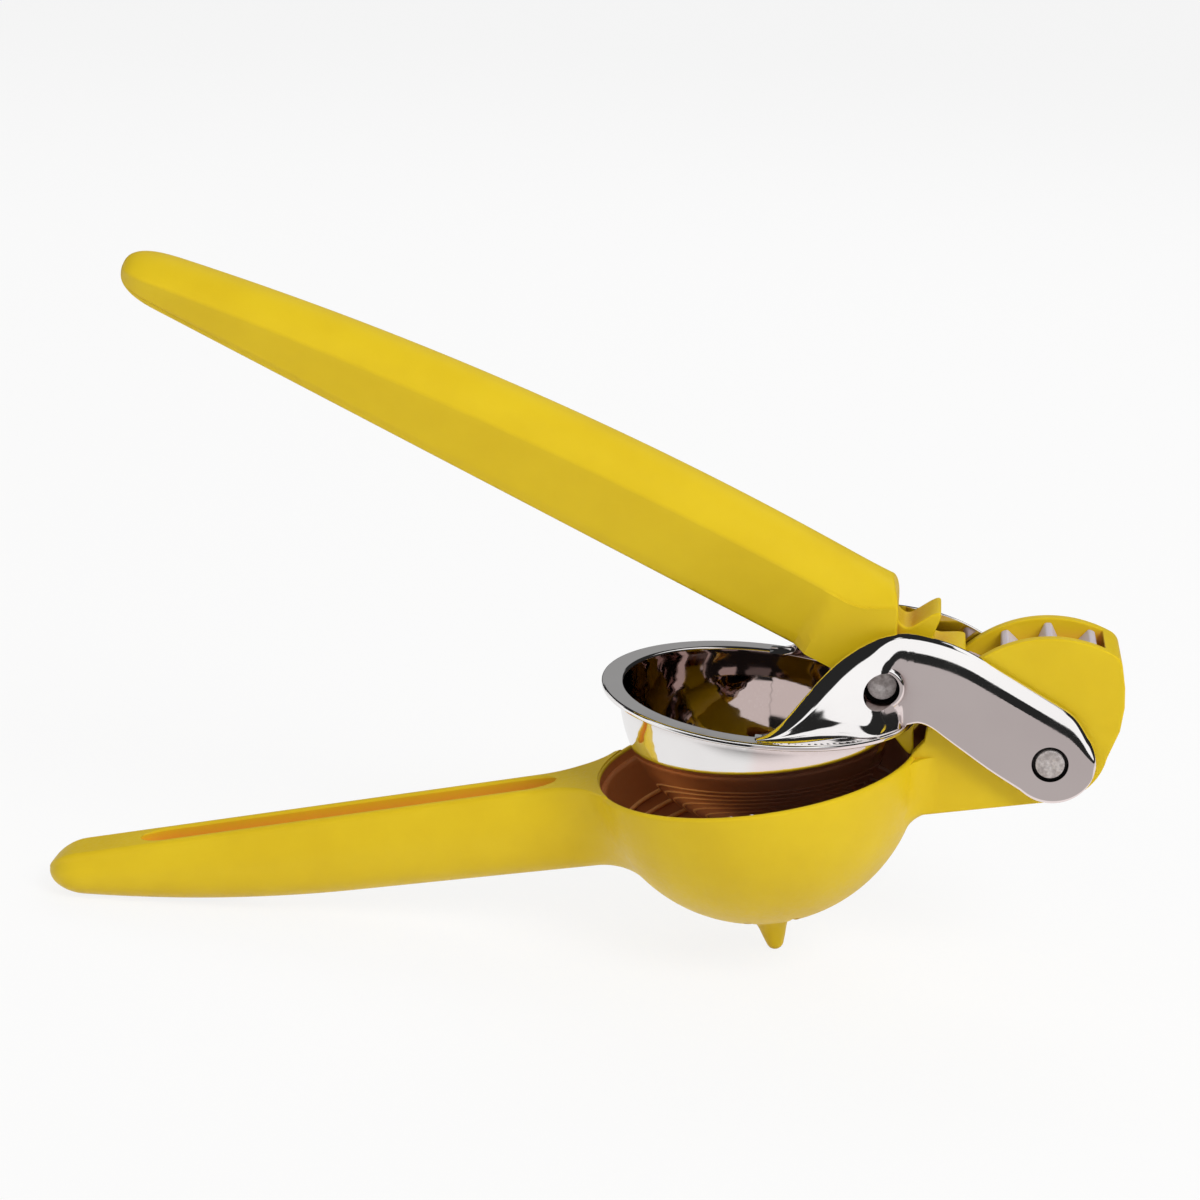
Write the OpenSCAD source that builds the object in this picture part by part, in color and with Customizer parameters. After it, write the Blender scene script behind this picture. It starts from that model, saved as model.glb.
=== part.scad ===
// Hinged lemon squeezer with a geared upper handle.
//
// A lemon half sits in the bowl of the lower body. The press, a polished cup on two arms,
// swings down on the hinge pin. The upper handle turns on a second pin that the arms carry,
// and its gear rolls on a toothed sector fixed in the lower body, so the press closes with
// several times the force of the hand.
//
// Everything is drawn in the bowl's own frame first: the bowl's mouth is the plane z = 0, its
// axis is the Z axis and the hinge lies towards +X. stand() then tips the whole squeezer onto
// its drip nub and the heel of its lower handle, which is how it stands on a table.

/* [Bowl] */
// Inner radius of the mouth, above the ledge
mouth_r = 39; // [34:0.5:44]
// Depth of the straight recess above the ledge
recess_depth = 2.8; // [2:0.2:5]
// Width of the ledge below the recess
ledge_w = 1.2; // [0.8:0.1:2]
// Thickness of the bowl's wall
bowl_wall = 2.6; // [2:0.1:4]
// Depth of the first squeezing ridge below the mouth
ridge_depth = 13.2; // [10:0.2:16]
// Step in depth from one ridge to the next
ridge_step = 3.3; // [2.6:0.1:4.5]
// Number of ridges round the inside of the bowl
ridge_count = 6; // [1:1:7]
// Radius of the round top of a ridge
ridge_r = 0.6; // [0.3:0.1:1]
// Number of drain slots in the bottom of the bowl
slot_count = 10; // [4:1:14]
// Width of a drain slot
slot_w = 2.2; // [1.2:0.1:3]
// Distance of a slot's inner end from the middle
slot_from = 8.5; // [7:0.5:10]
// Distance of a slot's outer end from the middle
slot_to = 19; // [14:0.5:21]
// Height of the drip nub's tip below the mouth
nub_drop = 50.3; // [46:0.1:56]
// Radius of the nub where it leaves the bowl
nub_base_r = 5.6; // [4:0.1:6.5]
// Radius of the nub's round tip
nub_tip_r = 2.2; // [1.5:0.1:3]
// Distance of the nub behind the bowl's axis, towards the handle
nub_back = 1.8; // [0:0.1:4]

/* [Lower handle] */
// Distance from the bowl's axis to the tip of the lower handle
lower_reach = 183; // [160:1:200]
// Height of the top edge at its bowl end, above the mouth
lower_top = 0.4; // [-2:0.1:2]
// Fall of the top edge for each millimetre towards the tip
lower_fall = 0.035; // [0:0.005:0.06]
// Depth of the underside below the mouth
lower_drop = 22.9; // [20:0.1:26]
// Distance from the bowl's axis where the underside starts to rise
lower_rise_from = 105; // [90:1:130]
// Radius of the rising underside
lower_rise_r = 360; // [300:10:600]
// Half the width across the open top
lower_top_half = 6.8; // [6:0.1:9]
// Half the width at the widest, halfway down
lower_mid_half = 8.7; // [7:0.1:11]
// Length of the rounded end
lower_nose = 9; // [6:0.5:14]
// Radius of the fillet that joins the handle to the bowl
lower_root_r = 20; // [10:1:26]
// Half the width of the trough along the top
trough_half = 3.9; // [2.5:0.1:4.5]
// Thickness of the material under the trough
trough_floor = 4.2; // [2.5:0.1:8]
// Solid length between the trough and the tip
trough_tip_gap = 25; // [15:1:40]
// Distance of the trough's other end from the bowl's axis
trough_root = 50; // [46:1:60]

/* [Hinge] */
// Distance of the hinge pin from the bowl's axis
hinge_x = 70.9; // [64:0.1:78]
// Depth of the hinge pin below the mouth
hinge_drop = 4.3; // [2:0.1:6]
// Radius of both pins
pin_r = 3.5; // [2.5:0.1:4]
// Running clearance of a turning bore round its pin
pin_play = 0.05; // [0.02:0.01:0.09]
// Radius of the housing's round top, about the hinge pin
cheek_r = 30.1; // [29.5:0.1:33]
// Inner half gap between the two cheeks
cheek_gap = 7.2; // [5:0.1:8]
// Outer half width of the housing
cheek_half = 10.1; // [9.5:0.1:11]
// Distance from the hinge pin to the housing's back
back_reach = 19.6; // [18.5:0.1:22]
// Radius of the housing's top rear corner
back_corner_r = 4; // [2:0.5:6]
// Thickness of the housing's back wall
back_wall = 3.6; // [2.5:0.1:4]
// Radius of the housing's heel
heel_r = 14.4; // [13:0.1:15]
// Height of the heel's middle above the hinge pin
heel_lift = 3.4; // [2:0.1:4]
// Thickness of the floor under the gear
housing_floor = 4; // [3:0.1:4.4]
// Radius of the fillets that blend the housing into the bowl
neck_root_r = 8; // [5:0.5:12]

/* [Gears] */
// Module of both gears
gear_module = 3.06; // [3:0.01:3.1]
// Number of teeth of the whole wheel that the handle's gear is cut from
handle_teeth = 12;
// Number of teeth of the whole wheel that the sector is cut from
sector_teeth = 17;
// Pressure angle
pressure_angle = 25; // [22:1:26]
// Backlash at the pitch circle
backlash = 0.5; // [0.3:0.05:0.8]
// Clearance of a tooth's tip from the other gear's root
tip_play = 0.6; // [0.4:0.05:1]
// Half width of the handle's gear
handle_gear_half = 6.7; // [4:0.1:6.9]
// Gap between the mouth's edge and the press's edge
press_play = 0.3; // [0.2:0.05:0.6]

/* [Press] */
// How far the press stands open
open_angle = 13.5; // [0:0.5:45]
// Angle above level of the line from hinge pin to handle pin, with the press closed
pin_rise = 19.5; // [18:0.1:21]
// Height of the flange's top above the mouth, with the press closed
flange_top = 1; // [0.8:0.1:1.6]
// Thickness of the flange
flange_t = 1.4; // [1:0.1:2]
// Width of the flange round the cup
flange_w = 5.5; // [4:0.1:6.5]
// Thickness of the cup's wall
cup_wall = 1; // [0.8:0.1:1.8]
// Inner half gap between the arms
arm_gap = 10.8; // [10.7:0.1:11.8]
// Thickness of an arm
arm_t = 3.3; // [2.5:0.1:4]
// Radius of an arm's round end at the hinge pin
arm_eye_r = 10.4; // [8:0.1:11]
// Distance of that round end's middle beyond the hinge pin
arm_eye_shift = 0.5; // [0:0.1:1]
// Height of an arm's shoulder above the mouth, with the press closed
arm_top = 23.3; // [21:0.1:26]
// Radius of the arm's shoulder
arm_shoulder_r = 40; // [34:1:50]
// Slope of an arm's straight stretch
arm_slope = 25.4; // [22:0.2:28]
// Radius of the boss round the handle pin
pin_boss_r = 6.6; // [6:0.1:8]
// How far that boss stands out from the arm
pin_boss_h = 2.8; // [1.5:0.1:3.5]
// Radius of the sink round the handle pin's end
handle_sink_r = 5.1; // [4.4:0.1:5.6]
// Radius of the sink round the hinge pin's end
hinge_sink_r = 4.4; // [4.2:0.1:5.6]
// Depth of the sink round the hinge pin's end
hinge_sink_depth = 1; // [0.5:0.1:1.5]
// Clearance of the gear's window in the cup
window_play = 1; // [0.6:0.1:2]

/* [Upper handle] */
// Length of the upper handle from the handle pin to its tip
upper_reach = 208; // [180:1:225]
// Rise of the handle towards its tip, with the press closed
handle_rise = 2.9; // [1:0.1:5]
// Height of the handle's back above the handle pin
upper_top = 22.4; // [20:0.1:24]
// Distance from the handle pin where the back is highest
upper_crown_at = 45; // [35:1:60]
// Radius of the back's long curve
upper_crown_r = 860; // [700:10:1200]
// Height of the side crease above the handle pin
crease_top = 12.8; // [10:0.1:14]
// Radius of the crease's long curve
crease_r = 1250; // [1000:10:1600]
// Depth of the underside below the handle pin
upper_drop = 3.3; // [2:0.1:4]
// Half the width at the crease
crease_half = 10.2; // [9:0.1:10.5]
// Half the width at the crease near the tip
crease_tip_half = 9; // [7:0.1:10]
// Half the width of the underside
upper_bottom_half = 6.8; // [6:0.1:8]
// Length of the rounded tip
upper_nose = 12; // [6:0.5:16]
// Radius of the hub round the handle pin
hub_r = 8.6; // [7:0.1:9]
// Half the width of the hub
hub_half = 10.4; // [9:0.1:10.5]
// Thickness of the back above the hollow
hollow_roof = 3.4; // [2:0.1:6]
// Half the width of the hollow under the handle
hollow_half = 4.2; // [2.5:0.1:5]
// Solid length between the hollow and the tip
hollow_tip_gap = 14; // [12:1:30]
// Distance from the handle pin to the hollow's near end
hollow_from = 26; // [24:1:40]

/* [Hidden] */
$fn = 72;

body_colour = "gold";
insert_colour = "lightgray";
chrome_colour = "silver";
pin_colour = "gray";

eps = 0.01;
far = 80;                  // longer than any cut needs
inner_r = mouth_r - ledge_w;
outer_r = inner_r + bowl_wall;
hinge = [hinge_x, -hinge_drop];
pitch_handle = gear_module * handle_teeth / 2;
pitch_sector = gear_module * sector_teeth / 2;
pin_distance = pitch_handle + pitch_sector;
handle_tip_r = pitch_handle + gear_module;
sector_tip_r = pitch_sector + gear_module;
handle_root_r = pitch_handle - gear_module - tip_play;
sector_root_r = pitch_sector - gear_module - tip_play;
handle_ratio = sector_teeth / handle_teeth;

// The handle pin, with the press closed
handle_pin_at = hinge + pin_distance * dir(180 - pin_rise);
// The opening at which a sector tooth points straight at the handle pin
mesh_angle = 13.5;
sector_phase = 180 - pin_rise - mesh_angle;
handle_phase = -pin_rise - mesh_angle + handle_rise + (1 + handle_ratio) * mesh_angle;

flange_r = mouth_r - press_play;
cup_r = flange_r - flange_w + cup_wall;
arm_half = arm_gap + arm_t;
rim_z = flange_top - flange_t / 2;   // the middle of the flange, where the arms are rooted
heel = hinge + [0, heel_lift];
floor_z = heel[1] - heel_r;
seat_z = floor_z + housing_floor;
insert_foot = 15;          // how far the sector gear's foot reaches towards the bowl
insert_play = 0.4;         // gap behind the sector gear
nub_middle = [-nub_back, nub_tip_r - nub_drop];

// How the squeezer stands on the table
stand_pitch = min([for (x = [lower_rise_from:lower_reach])
    let (d = [nub_middle[0] + x, lower_section(x)[1] - nub_middle[1]])
    atan2(d[1], d[0]) + asin(nub_tip_r / norm(d))]);
stand_lift = nub_tip_r - nub_middle[0] * sin(stand_pitch) - nub_middle[1] * cos(stand_pitch);
stand_back = [hinge_x + back_reach, back_corner_z()];
stand_shift = (lower_reach * cos(stand_pitch) + lower_middle(lower_reach) * sin(stand_pitch)
    - stand_back[0] * cos(stand_pitch) + stand_back[1] * sin(stand_pitch)) / 2;

function dir(a) = [cos(a), sin(a)];
function arc(c, r, a0, a1, n = 10) = [for (i = [0:n]) c + r * dir(a0 + (a1 - a0) * i / n)];
function back_corner_z() = let (r = cheek_r - back_corner_r, x = back_reach - back_corner_r)
    -hinge_drop + sqrt(r * r - x * x);

// Height of the middle of the lower handle's end
function lower_middle(x) = (lower_top_line(x) + lower_bottom_line(x)) / 2;
function lower_top_line(x) = lower_top - lower_fall * max(0, x - trough_root + 5);
function lower_bottom_line(x) = x <= lower_rise_from ? -lower_drop
    : -lower_drop + lower_rise_r - sqrt(lower_rise_r ^ 2 - (x - lower_rise_from) ^ 2);
// How far an end that starts at from and is long has shrunk at x
function nose(x, from, long) = x <= from ? 1 : sqrt(max(0, 1 - ((x - from) / long) ^ 2));
// A point of a bar that grows out of the bowl with a fillet of radius r, at distance x from
// the bowl's axis: p is the point on the bar's section and n the way the section faces there
function rooted(x, p, n, r) = let (
        c = p + r * n,
        from = sqrt((outer_r + r) ^ 2 - c * c),
        to = from * outer_r / (outer_r + r),
        q = p + n * (x >= from ? 0 : r - sqrt(r ^ 2 - (from - max(x, to)) ^ 2)))
    [x, q[0], q[1]];
// Top, bottom, top half width and middle half width of the lower handle at distance x
function lower_section(x) = let (
        k = max(0.12, nose(x, lower_reach - lower_nose, lower_nose)),
        m = lower_middle(x))
    [m + (lower_top_line(x) - m) * k, m + (lower_bottom_line(x) - m) * k,
     lower_top_half * k, lower_mid_half * k];

// Back, crease and underside of the upper handle at distance u from the handle pin
function upper_section(u) = let (
        k = max(0.12, nose(u, upper_reach - upper_nose, upper_nose)),
        top = upper_top - upper_crown_r + sqrt(upper_crown_r ^ 2 - (u - upper_crown_at) ^ 2),
        crease = crease_top - crease_r + sqrt(crease_r ^ 2 - max(0, u - upper_crown_at + 10) ^ 2),
        half = crease_half + (crease_tip_half - crease_half) * max(0, u) / upper_reach,
        m = (top - upper_drop) / 2)
    [m + (top - m) * k, m + (crease - m) * k, m + (-upper_drop - m) * k,
     half * k, min(upper_bottom_half, half - 1) * k];

// A solid through rings of points, all rings with the same number
module loft(rings) {
    n = len(rings[0]);
    last = (len(rings) - 1) * n;
    polyhedron(
        points = [for (ring = rings) for (p = ring) p],
        faces = concat(
            [for (j = [1:n - 2]) [0, j + 1, j]],
            [for (i = [0:len(rings) - 2]) for (j = [0:n - 1])
                let (a = i * n + j, b = i * n + (j + 1) % n) each [[a, b, b + n], [a, b + n, a + n]]],
            [for (j = [1:n - 2]) [last, last + j, last + j + 1]]));
}

// A plate drawn in the X-Z plane, from y = from to y = to
module plate(from, to) {
    translate([0, to, 0]) rotate([90, 0, 0]) linear_extrude(to - from) children();
}

module at(p) {
    translate([p[0], 0, p[1]]) children();
}

// A round bar along Y
module bar(r, from, to) {
    translate([0, to, 0]) rotate([90, 0, 0]) cylinder(r = r, h = to - from);
}

module both_sides() {
    children();
    mirror([0, 1, 0]) children();
}

// From the bowl's frame to the table's
module stand() {
    translate([stand_shift, 0, stand_lift]) rotate([0, -stand_pitch, 0]) children();
}

// From the closed press to the press as it stands
module swing() {
    at(hinge) rotate([0, open_angle, 0]) at(-hinge) children();
}

// From the handle's own frame, pin at the origin and grip along -X, to the closed press
module on_handle_pin() {
    at(handle_pin_at) rotate([0, handle_rise + handle_ratio * open_angle, 0]) children();
}

// The rim of a wheel of n teeth, with the teeth at the angles listed and the wheel's centre
// at the origin
function toothed_rim(n, tip_r, root_r, angles) = let (
        pitch_r = gear_module * n / 2,
        base_r = pitch_r * cos(pressure_angle),
        half = (PI * gear_module - backlash * 2) / 4 / pitch_r * 180 / PI
            + tan(pressure_angle) * 180 / PI - pressure_angle,
        roll = sqrt((tip_r / base_r) ^ 2 - 1) * 180 / PI,
        steps = 5,
        flank = [for (i = [0:steps]) let (t = roll * i / steps, w = t * PI / 180)
            base_r * [cos(t) + w * sin(t), sin(t) - w * cos(t)]],
        foot = root_r < base_r ? [root_r * flank[0] / base_r] : [],
        side = [for (p = concat(foot, flank)) turned(p, -half)],
        gap = [root_r * dir(180 / n)])
    [for (a = angles) each concat(
        [for (p = side) turned(p, a)],
        [for (i = [len(side) - 1:-1:0]) turned([side[i][0], -side[i][1]], a)],
        [turned(gap[0], a)])];

function turned(p, a) = [p[0] * cos(a) - p[1] * sin(a), p[0] * sin(a) + p[1] * cos(a)];

// The wedge between two angles
module wedge(r, a0, a1) {
    polygon(concat([[0, 0]], arc([0, 0], r, a0, a1)));
}

// ---- lower body -------------------------------------------------------------------------

module bowl_outside() {
    rotate_extrude() intersection() {
        circle(r = outer_r);
        translate([0, -far]) square([far, far]);
    }
}

module bowl_inside() {
    rotate_extrude() difference() {
        union() {
            intersection() {
                circle(r = inner_r);
                translate([0, -far]) square([far, far]);
            }
            translate([0, -recess_depth]) square([mouth_r, recess_depth + far / 4]);
        }
        for (i = [0:ridge_count - 1]) {
            depth = ridge_depth + i * ridge_step;
            translate([sqrt(inner_r ^ 2 - depth ^ 2), -depth]) circle(r = ridge_r, $fn = 24);
        }
    }
}

module drain_slots() {
    for (i = [0:slot_count - 1]) rotate([0, 0, i * 360 / slot_count])
        translate([0, 0, -far]) linear_extrude(far - inner_r / 2) {
            translate([slot_from, -slot_w / 2]) square([slot_to - slot_from, slot_w]);
            translate([slot_from, 0]) circle(d = slot_w);
            translate([slot_to, 0]) circle(d = slot_w);
        }
}

module drip_nub() {
    cone_top = inner_r + bowl_wall / 2;
    translate([-nub_back, 0, 0]) {
        translate([0, 0, -nub_drop + nub_tip_r])
            cylinder(r1 = nub_tip_r, r2 = nub_base_r, h = nub_drop - nub_tip_r - cone_top);
        translate([0, 0, -nub_drop + nub_tip_r]) sphere(r = nub_tip_r);
    }
}

function lower_ring(x) = let (s = lower_section(x), top = s[0], low = s[1], t = s[2], m = s[3],
        mid = (top + low) / 2, edge = min(1, t / 3),
        ring = concat([[[t - edge, top], [1, 0]], [[t, top - edge], [1, 0]]],
            [for (a = [0:15:180]) [[m * cos(a), mid - (mid - low) * sin(a)], [cos(a), -sin(a)]]],
            [[[-t, top - edge], [-1, 0]], [[edge - t, top], [-1, 0]]]))
    [for (p = ring) let (q = rooted(x, p[0], p[1], lower_root_r)) [-q[0], q[1], q[2]]];

module lower_grip() {
    tip = lower_reach - lower_nose;
    root = outer_r + lower_root_r * 0.7;
    loft([for (x = concat([for (i = [0:6]) tip + lower_nose * sin(90 - 15 * i)],
        [for (i = [1:10]) tip - (tip - root) * i / 10],
        [for (i = [1:10]) root - (root - outer_r * 0.72) * i / 10])) lower_ring(x)]);
}

function trough_ring(x, half, low) =
    [[-x, half, far / 4], [-x, half, low + 2], [-x, half - 2, low],
     [-x, 2 - half, low], [-x, -half, low + 2], [-x, -half, far / 4]];

module lower_trough() {
    ends = [trough_root, lower_reach - trough_tip_gap];
    loft([for (i = [0:14]) let (x = ends[1] - (ends[1] - ends[0]) * i / 14,
            e = min(x - ends[0], ends[1] - x),
            k = sqrt(1 - max(0, 1 - e / trough_half / 2) ^ 2))
        trough_ring(x, 2.1 + (trough_half - 2.1) * k,
            lower_bottom_line(x) + trough_floor + (1 - k) * 6)]);
}

module housing_outline() {
    corner = [hinge_x + back_reach - back_corner_r, back_corner_z()];
    corner_angle = atan2(corner[1] + hinge_drop, corner[0] - hinge_x);
    intersection() {
        translate(hinge) circle(r = cheek_r);
        translate(hinge) wedge(far, corner_angle, 190);
    }
    translate(corner) circle(r = back_corner_r);
    translate(heel) circle(r = heel_r);
    polygon(concat([[inner_r, 0], [inner_r, floor_z], [hinge_x, floor_z], heel + heel_r * dir(-20)],
        back_edge(0), [corner, hinge]));
}

// The straight stretches up the housing's back, moved in by d
function back_edge(d) = [[hinge_x + back_reach - 2.3 - d, hinge[1] + 5],
    [hinge_x + back_reach - 0.6 - d, hinge[1] + 10.7],
    [hinge_x + back_reach - d, hinge[1] + 15.7], [hinge_x + back_reach - d, back_corner_z()]];

// The pocket for the sector gear and the way for the handle's gear
module housing_pocket() {
    polygon(concat([[inner_r - 4, far], [inner_r - 4, seat_z]],
        arc(heel, heel_r - back_wall, -asin((heel[1] - seat_z) / (heel_r - back_wall)), -20, 6),
        back_edge(back_wall), [[hinge_x + back_reach - back_wall, far]]));
}

// Rings of the housing's root, from inside the bowl's wall outwards
function neck_ring(x) = let (top = -1.2, edge = 1, w = cheek_half - eps, low = floor_z + eps,
        ring = [[[w - edge, low], [0, -1]], [[w, low + edge], [1, -1] / sqrt(2)],
            [[w, low * 0.66], [1, 0]], [[w, low * 0.33], [1, 0]], [[w, top], [1, 0]],
            [[-w, top], [-1, 0]], [[-w, low * 0.33], [-1, 0]], [[-w, low * 0.66], [-1, 0]],
            [[-w, low + edge], [-1, -1] / sqrt(2)], [[edge - w, low], [0, -1]]])
    [for (p = ring) rooted(x, p[0], p[1], neck_root_r)];

module neck() {
    root = outer_r + neck_root_r;
    loft([for (i = [0:12]) neck_ring(root - (root - outer_r * 0.72) * i / 12)]);
}

module lower_body() {
    color(body_colour) stand() difference() {
        union() {
            bowl_outside();
            lower_grip();
            drip_nub();
            plate(-cheek_half, cheek_half) housing_outline();
            neck();
        }
        bowl_inside();
        drain_slots();
        lower_trough();
        plate(-cheek_gap, cheek_gap) housing_pocket();
        at(hinge) bar(pin_r + pin_play, -far, far);
    }
}

// ---- sector gear ------------------------------------------------------------------------

module sector_gear() {
    step = 360 / sector_teeth;
    angles = [for (i = [-4:1]) sector_phase + i * step];
    rear_r = heel_r - back_wall - insert_play;
    rim = [for (p = toothed_rim(sector_teeth, sector_tip_r, sector_root_r, angles)) hinge + p];
    rear = hinge_x + back_reach - back_wall - insert_play;
    color(insert_colour) stand() difference() {
        plate(-cheek_gap, cheek_gap) polygon(concat(rim,
            [[hinge_x - insert_foot, seat_z], [hinge_x, seat_z],
             heel + rear_r * dir(-50), heel + rear_r * dir(-20),
             [rear - 2.3, hinge[1] + 5.2], [rear - 1, hinge[1] + 13]]));
        at(hinge) bar(pin_r + pin_play, -far, far);
    }
}

// ---- press ------------------------------------------------------------------------------

module cup() {
    translate([0, 0, flange_top]) rotate_extrude() {
        difference() {
            circle(r = cup_r);
            circle(r = cup_r - cup_wall);
            translate([-far, 0]) square([2 * far, far]);
            translate([-far, -far]) square([far, 2 * far]);
        }
        translate([cup_r - cup_wall, -flange_t]) square([flange_w, flange_t]);
    }
}

module arm_outline() {
    shoulder = [hinge_x - 36.9, arm_top - arm_shoulder_r];
    bend = shoulder + arm_shoulder_r * dir(90 - arm_slope);
    run = 24;
    knee = bend + run * dir(-arm_slope);
    eye = hinge + [arm_eye_shift, arm_eye_shift];
    foot = sqrt(flange_r ^ 2 - arm_half ^ 2);
    polygon(concat(
        arc(shoulder, arm_shoulder_r, 90, 90 - arm_slope, 6),
        [knee],
        arc(eye, arm_eye_r, 42, -128, 14),
        [[outer_r + 5, -0.9], [outer_r + 1.4, 1.3], [outer_r - 1.6, 2.1],
         [foot + 0.6, 1.4], [foot - 0.4, rim_z],
         [handle_pin_at[0] - 1, rim_z], handle_pin_at + [-6, 8], handle_pin_at + [-3, 11.6]]));
}

// Rings of the wall that flares from an arm down to the flange: azimuth on the flange, then
// the top edge's x, outer y and height, with the press closed
arm_flare = [[20, 36, 14.1, 22.4], [30, 30, 14.6, 22.5], [42, 24.5, 16.3, 20.4], [52, 19.5, 19.4, 16],
    [62, 15.3, 24.2, 11.2], [72, 11.2, 29.4, 6.6], [80, 7.6, 34.2, 3], [86, 3.5, 37, 1.6]];

module arm_flare() {
    low = rim_z;
    out = flange_r - 0.4;
    loft([for (f = arm_flare) let (root = dir(f[0]), t = arm_t - 0.5)
        [[root[0] * out, root[1] * out, low],
         [f[1], f[2] * arm_half / 14.1, f[3] * arm_top / 23.3],
         [f[1] - t * root[0] / 2, f[2] * arm_half / 14.1 - t, f[3] * arm_top / 23.3 - 0.4],
         [root[0] * (cup_r - cup_wall / 2), root[1] * (cup_r - cup_wall / 2), low]]]);
}

module press() {
    color(chrome_colour) stand() swing() difference() {
        union() {
            cup();
            both_sides() {
                plate(arm_gap, arm_half) arm_outline();
                arm_flare();
                at(handle_pin_at) bar(pin_boss_r, arm_gap, arm_half + pin_boss_h);
            }
        }
        at(handle_pin_at) {
            bar(handle_tip_r + window_play, -handle_gear_half - window_play,
                handle_gear_half + window_play);
            bar(pin_r, -far, far);
            both_sides() bar(handle_sink_r, arm_half, far);
        }
        at(hinge) {
            bar(pin_r, -far, far);
            both_sides() bar(hinge_sink_r, arm_half - hinge_sink_depth, far);
        }
    }
}

module handle_pin() {
    color(pin_colour) stand() swing() at(handle_pin_at) bar(pin_r, -arm_half, arm_half);
}

module hinge_pin() {
    color(pin_colour) stand() swing() at(hinge) bar(pin_r, -arm_half, arm_half);
}

// ---- upper handle -----------------------------------------------------------------------

function upper_ring(u) = let (s = upper_section(u), top = s[0], crease = s[1], low = s[2],
        c = s[3], b = s[4], edge = min(1.2, b / 3))
    concat([[-u, b - edge, low], [-u, b, low + edge]],
        [for (a = [0:15:180]) [-u, c * cos(a), crease + (top - crease) * sin(a)]],
        [[-u, -b, low + edge], [-u, edge - b, low]]);

module upper_grip() {
    tip = upper_reach - upper_nose;
    loft([for (u = concat([for (i = [0:18]) -6 + (tip + 6) * i / 19],
        [for (i = [0:6]) tip + upper_nose * sin(15 * i)])) upper_ring(u)]);
}

function hollow_ring(u, half, roof) =
    [[-u, -half, -far / 4], [-u, half, -far / 4], [-u, half, roof - 2.5],
     [-u, half - 1.5, roof], [-u, 1.5 - half, roof], [-u, -half, roof - 2.5]];

module upper_hollow() {
    ends = [hollow_from, upper_reach - hollow_tip_gap];
    loft([for (i = [0:14]) let (u = ends[0] + (ends[1] - ends[0]) * i / 14,
            e = min(u - ends[0], ends[1] - u),
            k = sqrt(1 - max(0, 1 - e / hollow_half / 2) ^ 2))
        hollow_ring(u, 2 + (hollow_half - 2) * k,
            upper_section(u)[0] - hollow_roof - (1 - k) * 4)]);
}

// What is cut off the grip's end, beyond the hub's slanted shoulder
module shoulder_cut() {
    polygon([[-9.2, upper_top + 2], [-8.6, upper_top - 1.2], [-7.4, upper_top - 2.6],
        [-1.4, hub_r + 2.6], [0, hub_r - 0.2], [0, -far], [far, -far], [far, far], [-9.2, far]]);
}

module upper_handle() {
    step = 360 / handle_teeth;
    angles = [for (i = [-1:3]) handle_phase + (i - 0.5) * step];
    color(body_colour) stand() swing() on_handle_pin() difference() {
        union() {
            difference() {
                upper_grip();
                plate(-far, far) shoulder_cut();
            }
            bar(hub_r, -hub_half, hub_half);
            plate(-handle_gear_half, handle_gear_half) polygon(concat([[0, 0]],
                toothed_rim(handle_teeth, handle_tip_r, handle_root_r, angles),
                [handle_root_r * dir(angles[4] + step * 0.9)]));
        }
        upper_hollow();
        bar(pin_r + pin_play, -far, far);
    }
}

lower_body();
sector_gear();
press();
handle_pin();
hinge_pin();
upper_handle();
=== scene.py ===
import math

import bpy
from mathutils import Matrix, Vector

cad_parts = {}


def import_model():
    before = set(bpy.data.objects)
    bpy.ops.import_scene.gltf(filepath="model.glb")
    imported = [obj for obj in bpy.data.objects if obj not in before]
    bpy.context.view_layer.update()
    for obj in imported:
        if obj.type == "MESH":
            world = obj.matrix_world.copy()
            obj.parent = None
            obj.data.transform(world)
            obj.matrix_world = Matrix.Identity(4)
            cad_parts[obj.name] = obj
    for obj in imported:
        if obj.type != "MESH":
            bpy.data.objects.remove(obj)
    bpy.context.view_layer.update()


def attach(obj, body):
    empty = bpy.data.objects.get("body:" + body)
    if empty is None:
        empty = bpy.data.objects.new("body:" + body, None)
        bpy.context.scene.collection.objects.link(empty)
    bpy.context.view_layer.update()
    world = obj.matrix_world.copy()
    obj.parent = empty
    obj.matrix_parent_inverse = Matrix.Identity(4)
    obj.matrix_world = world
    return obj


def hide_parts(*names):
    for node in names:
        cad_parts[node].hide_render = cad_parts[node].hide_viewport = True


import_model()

# Sizes in millimetres and angles in degrees, the same as the part's own. The lower body is
# modelled in the bowl's frame: the mouth is the plane z = 0, the bowl's axis is Z and the hinge
# lies towards +X. The press is modelled shut in that frame, and the upper handle with its pin at
# the origin and its grip towards -X.

MOUTH_R, RECESS, LEDGE = 39.0, 2.8, 1.2
INNER_R = MOUTH_R - LEDGE
OUTER_R = INNER_R + 2.6
RIDGE_DEPTH, RIDGE_STEP, RIDGES, RIDGE_R = 13.2, 3.3, 6, 0.6
SLOTS, SLOT_W, SLOT_FROM, SLOT_TO = 10, 2.2, 8.5, 19.0
NUB_DROP, NUB_BACK = 50.3, 1.8

HINGE = (70.9, -4.3)
CHEEK_R, CHEEK_GAP, CHEEK_HALF = 30.1, 7.2, 10.1
BACK_REACH, BACK_CORNER_R, BACK_WALL = 19.6, 4.0, 3.6
HEEL_R, HEEL_LIFT, HOUSING_FLOOR = 14.4, 3.4, 4.0
HEEL = (HINGE[0], HINGE[1] + HEEL_LIFT)
FLOOR_Z = HEEL[1] - HEEL_R
SEAT_Z = FLOOR_Z + HOUSING_FLOOR
CHANNEL_FROM = INNER_R - 6

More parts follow.
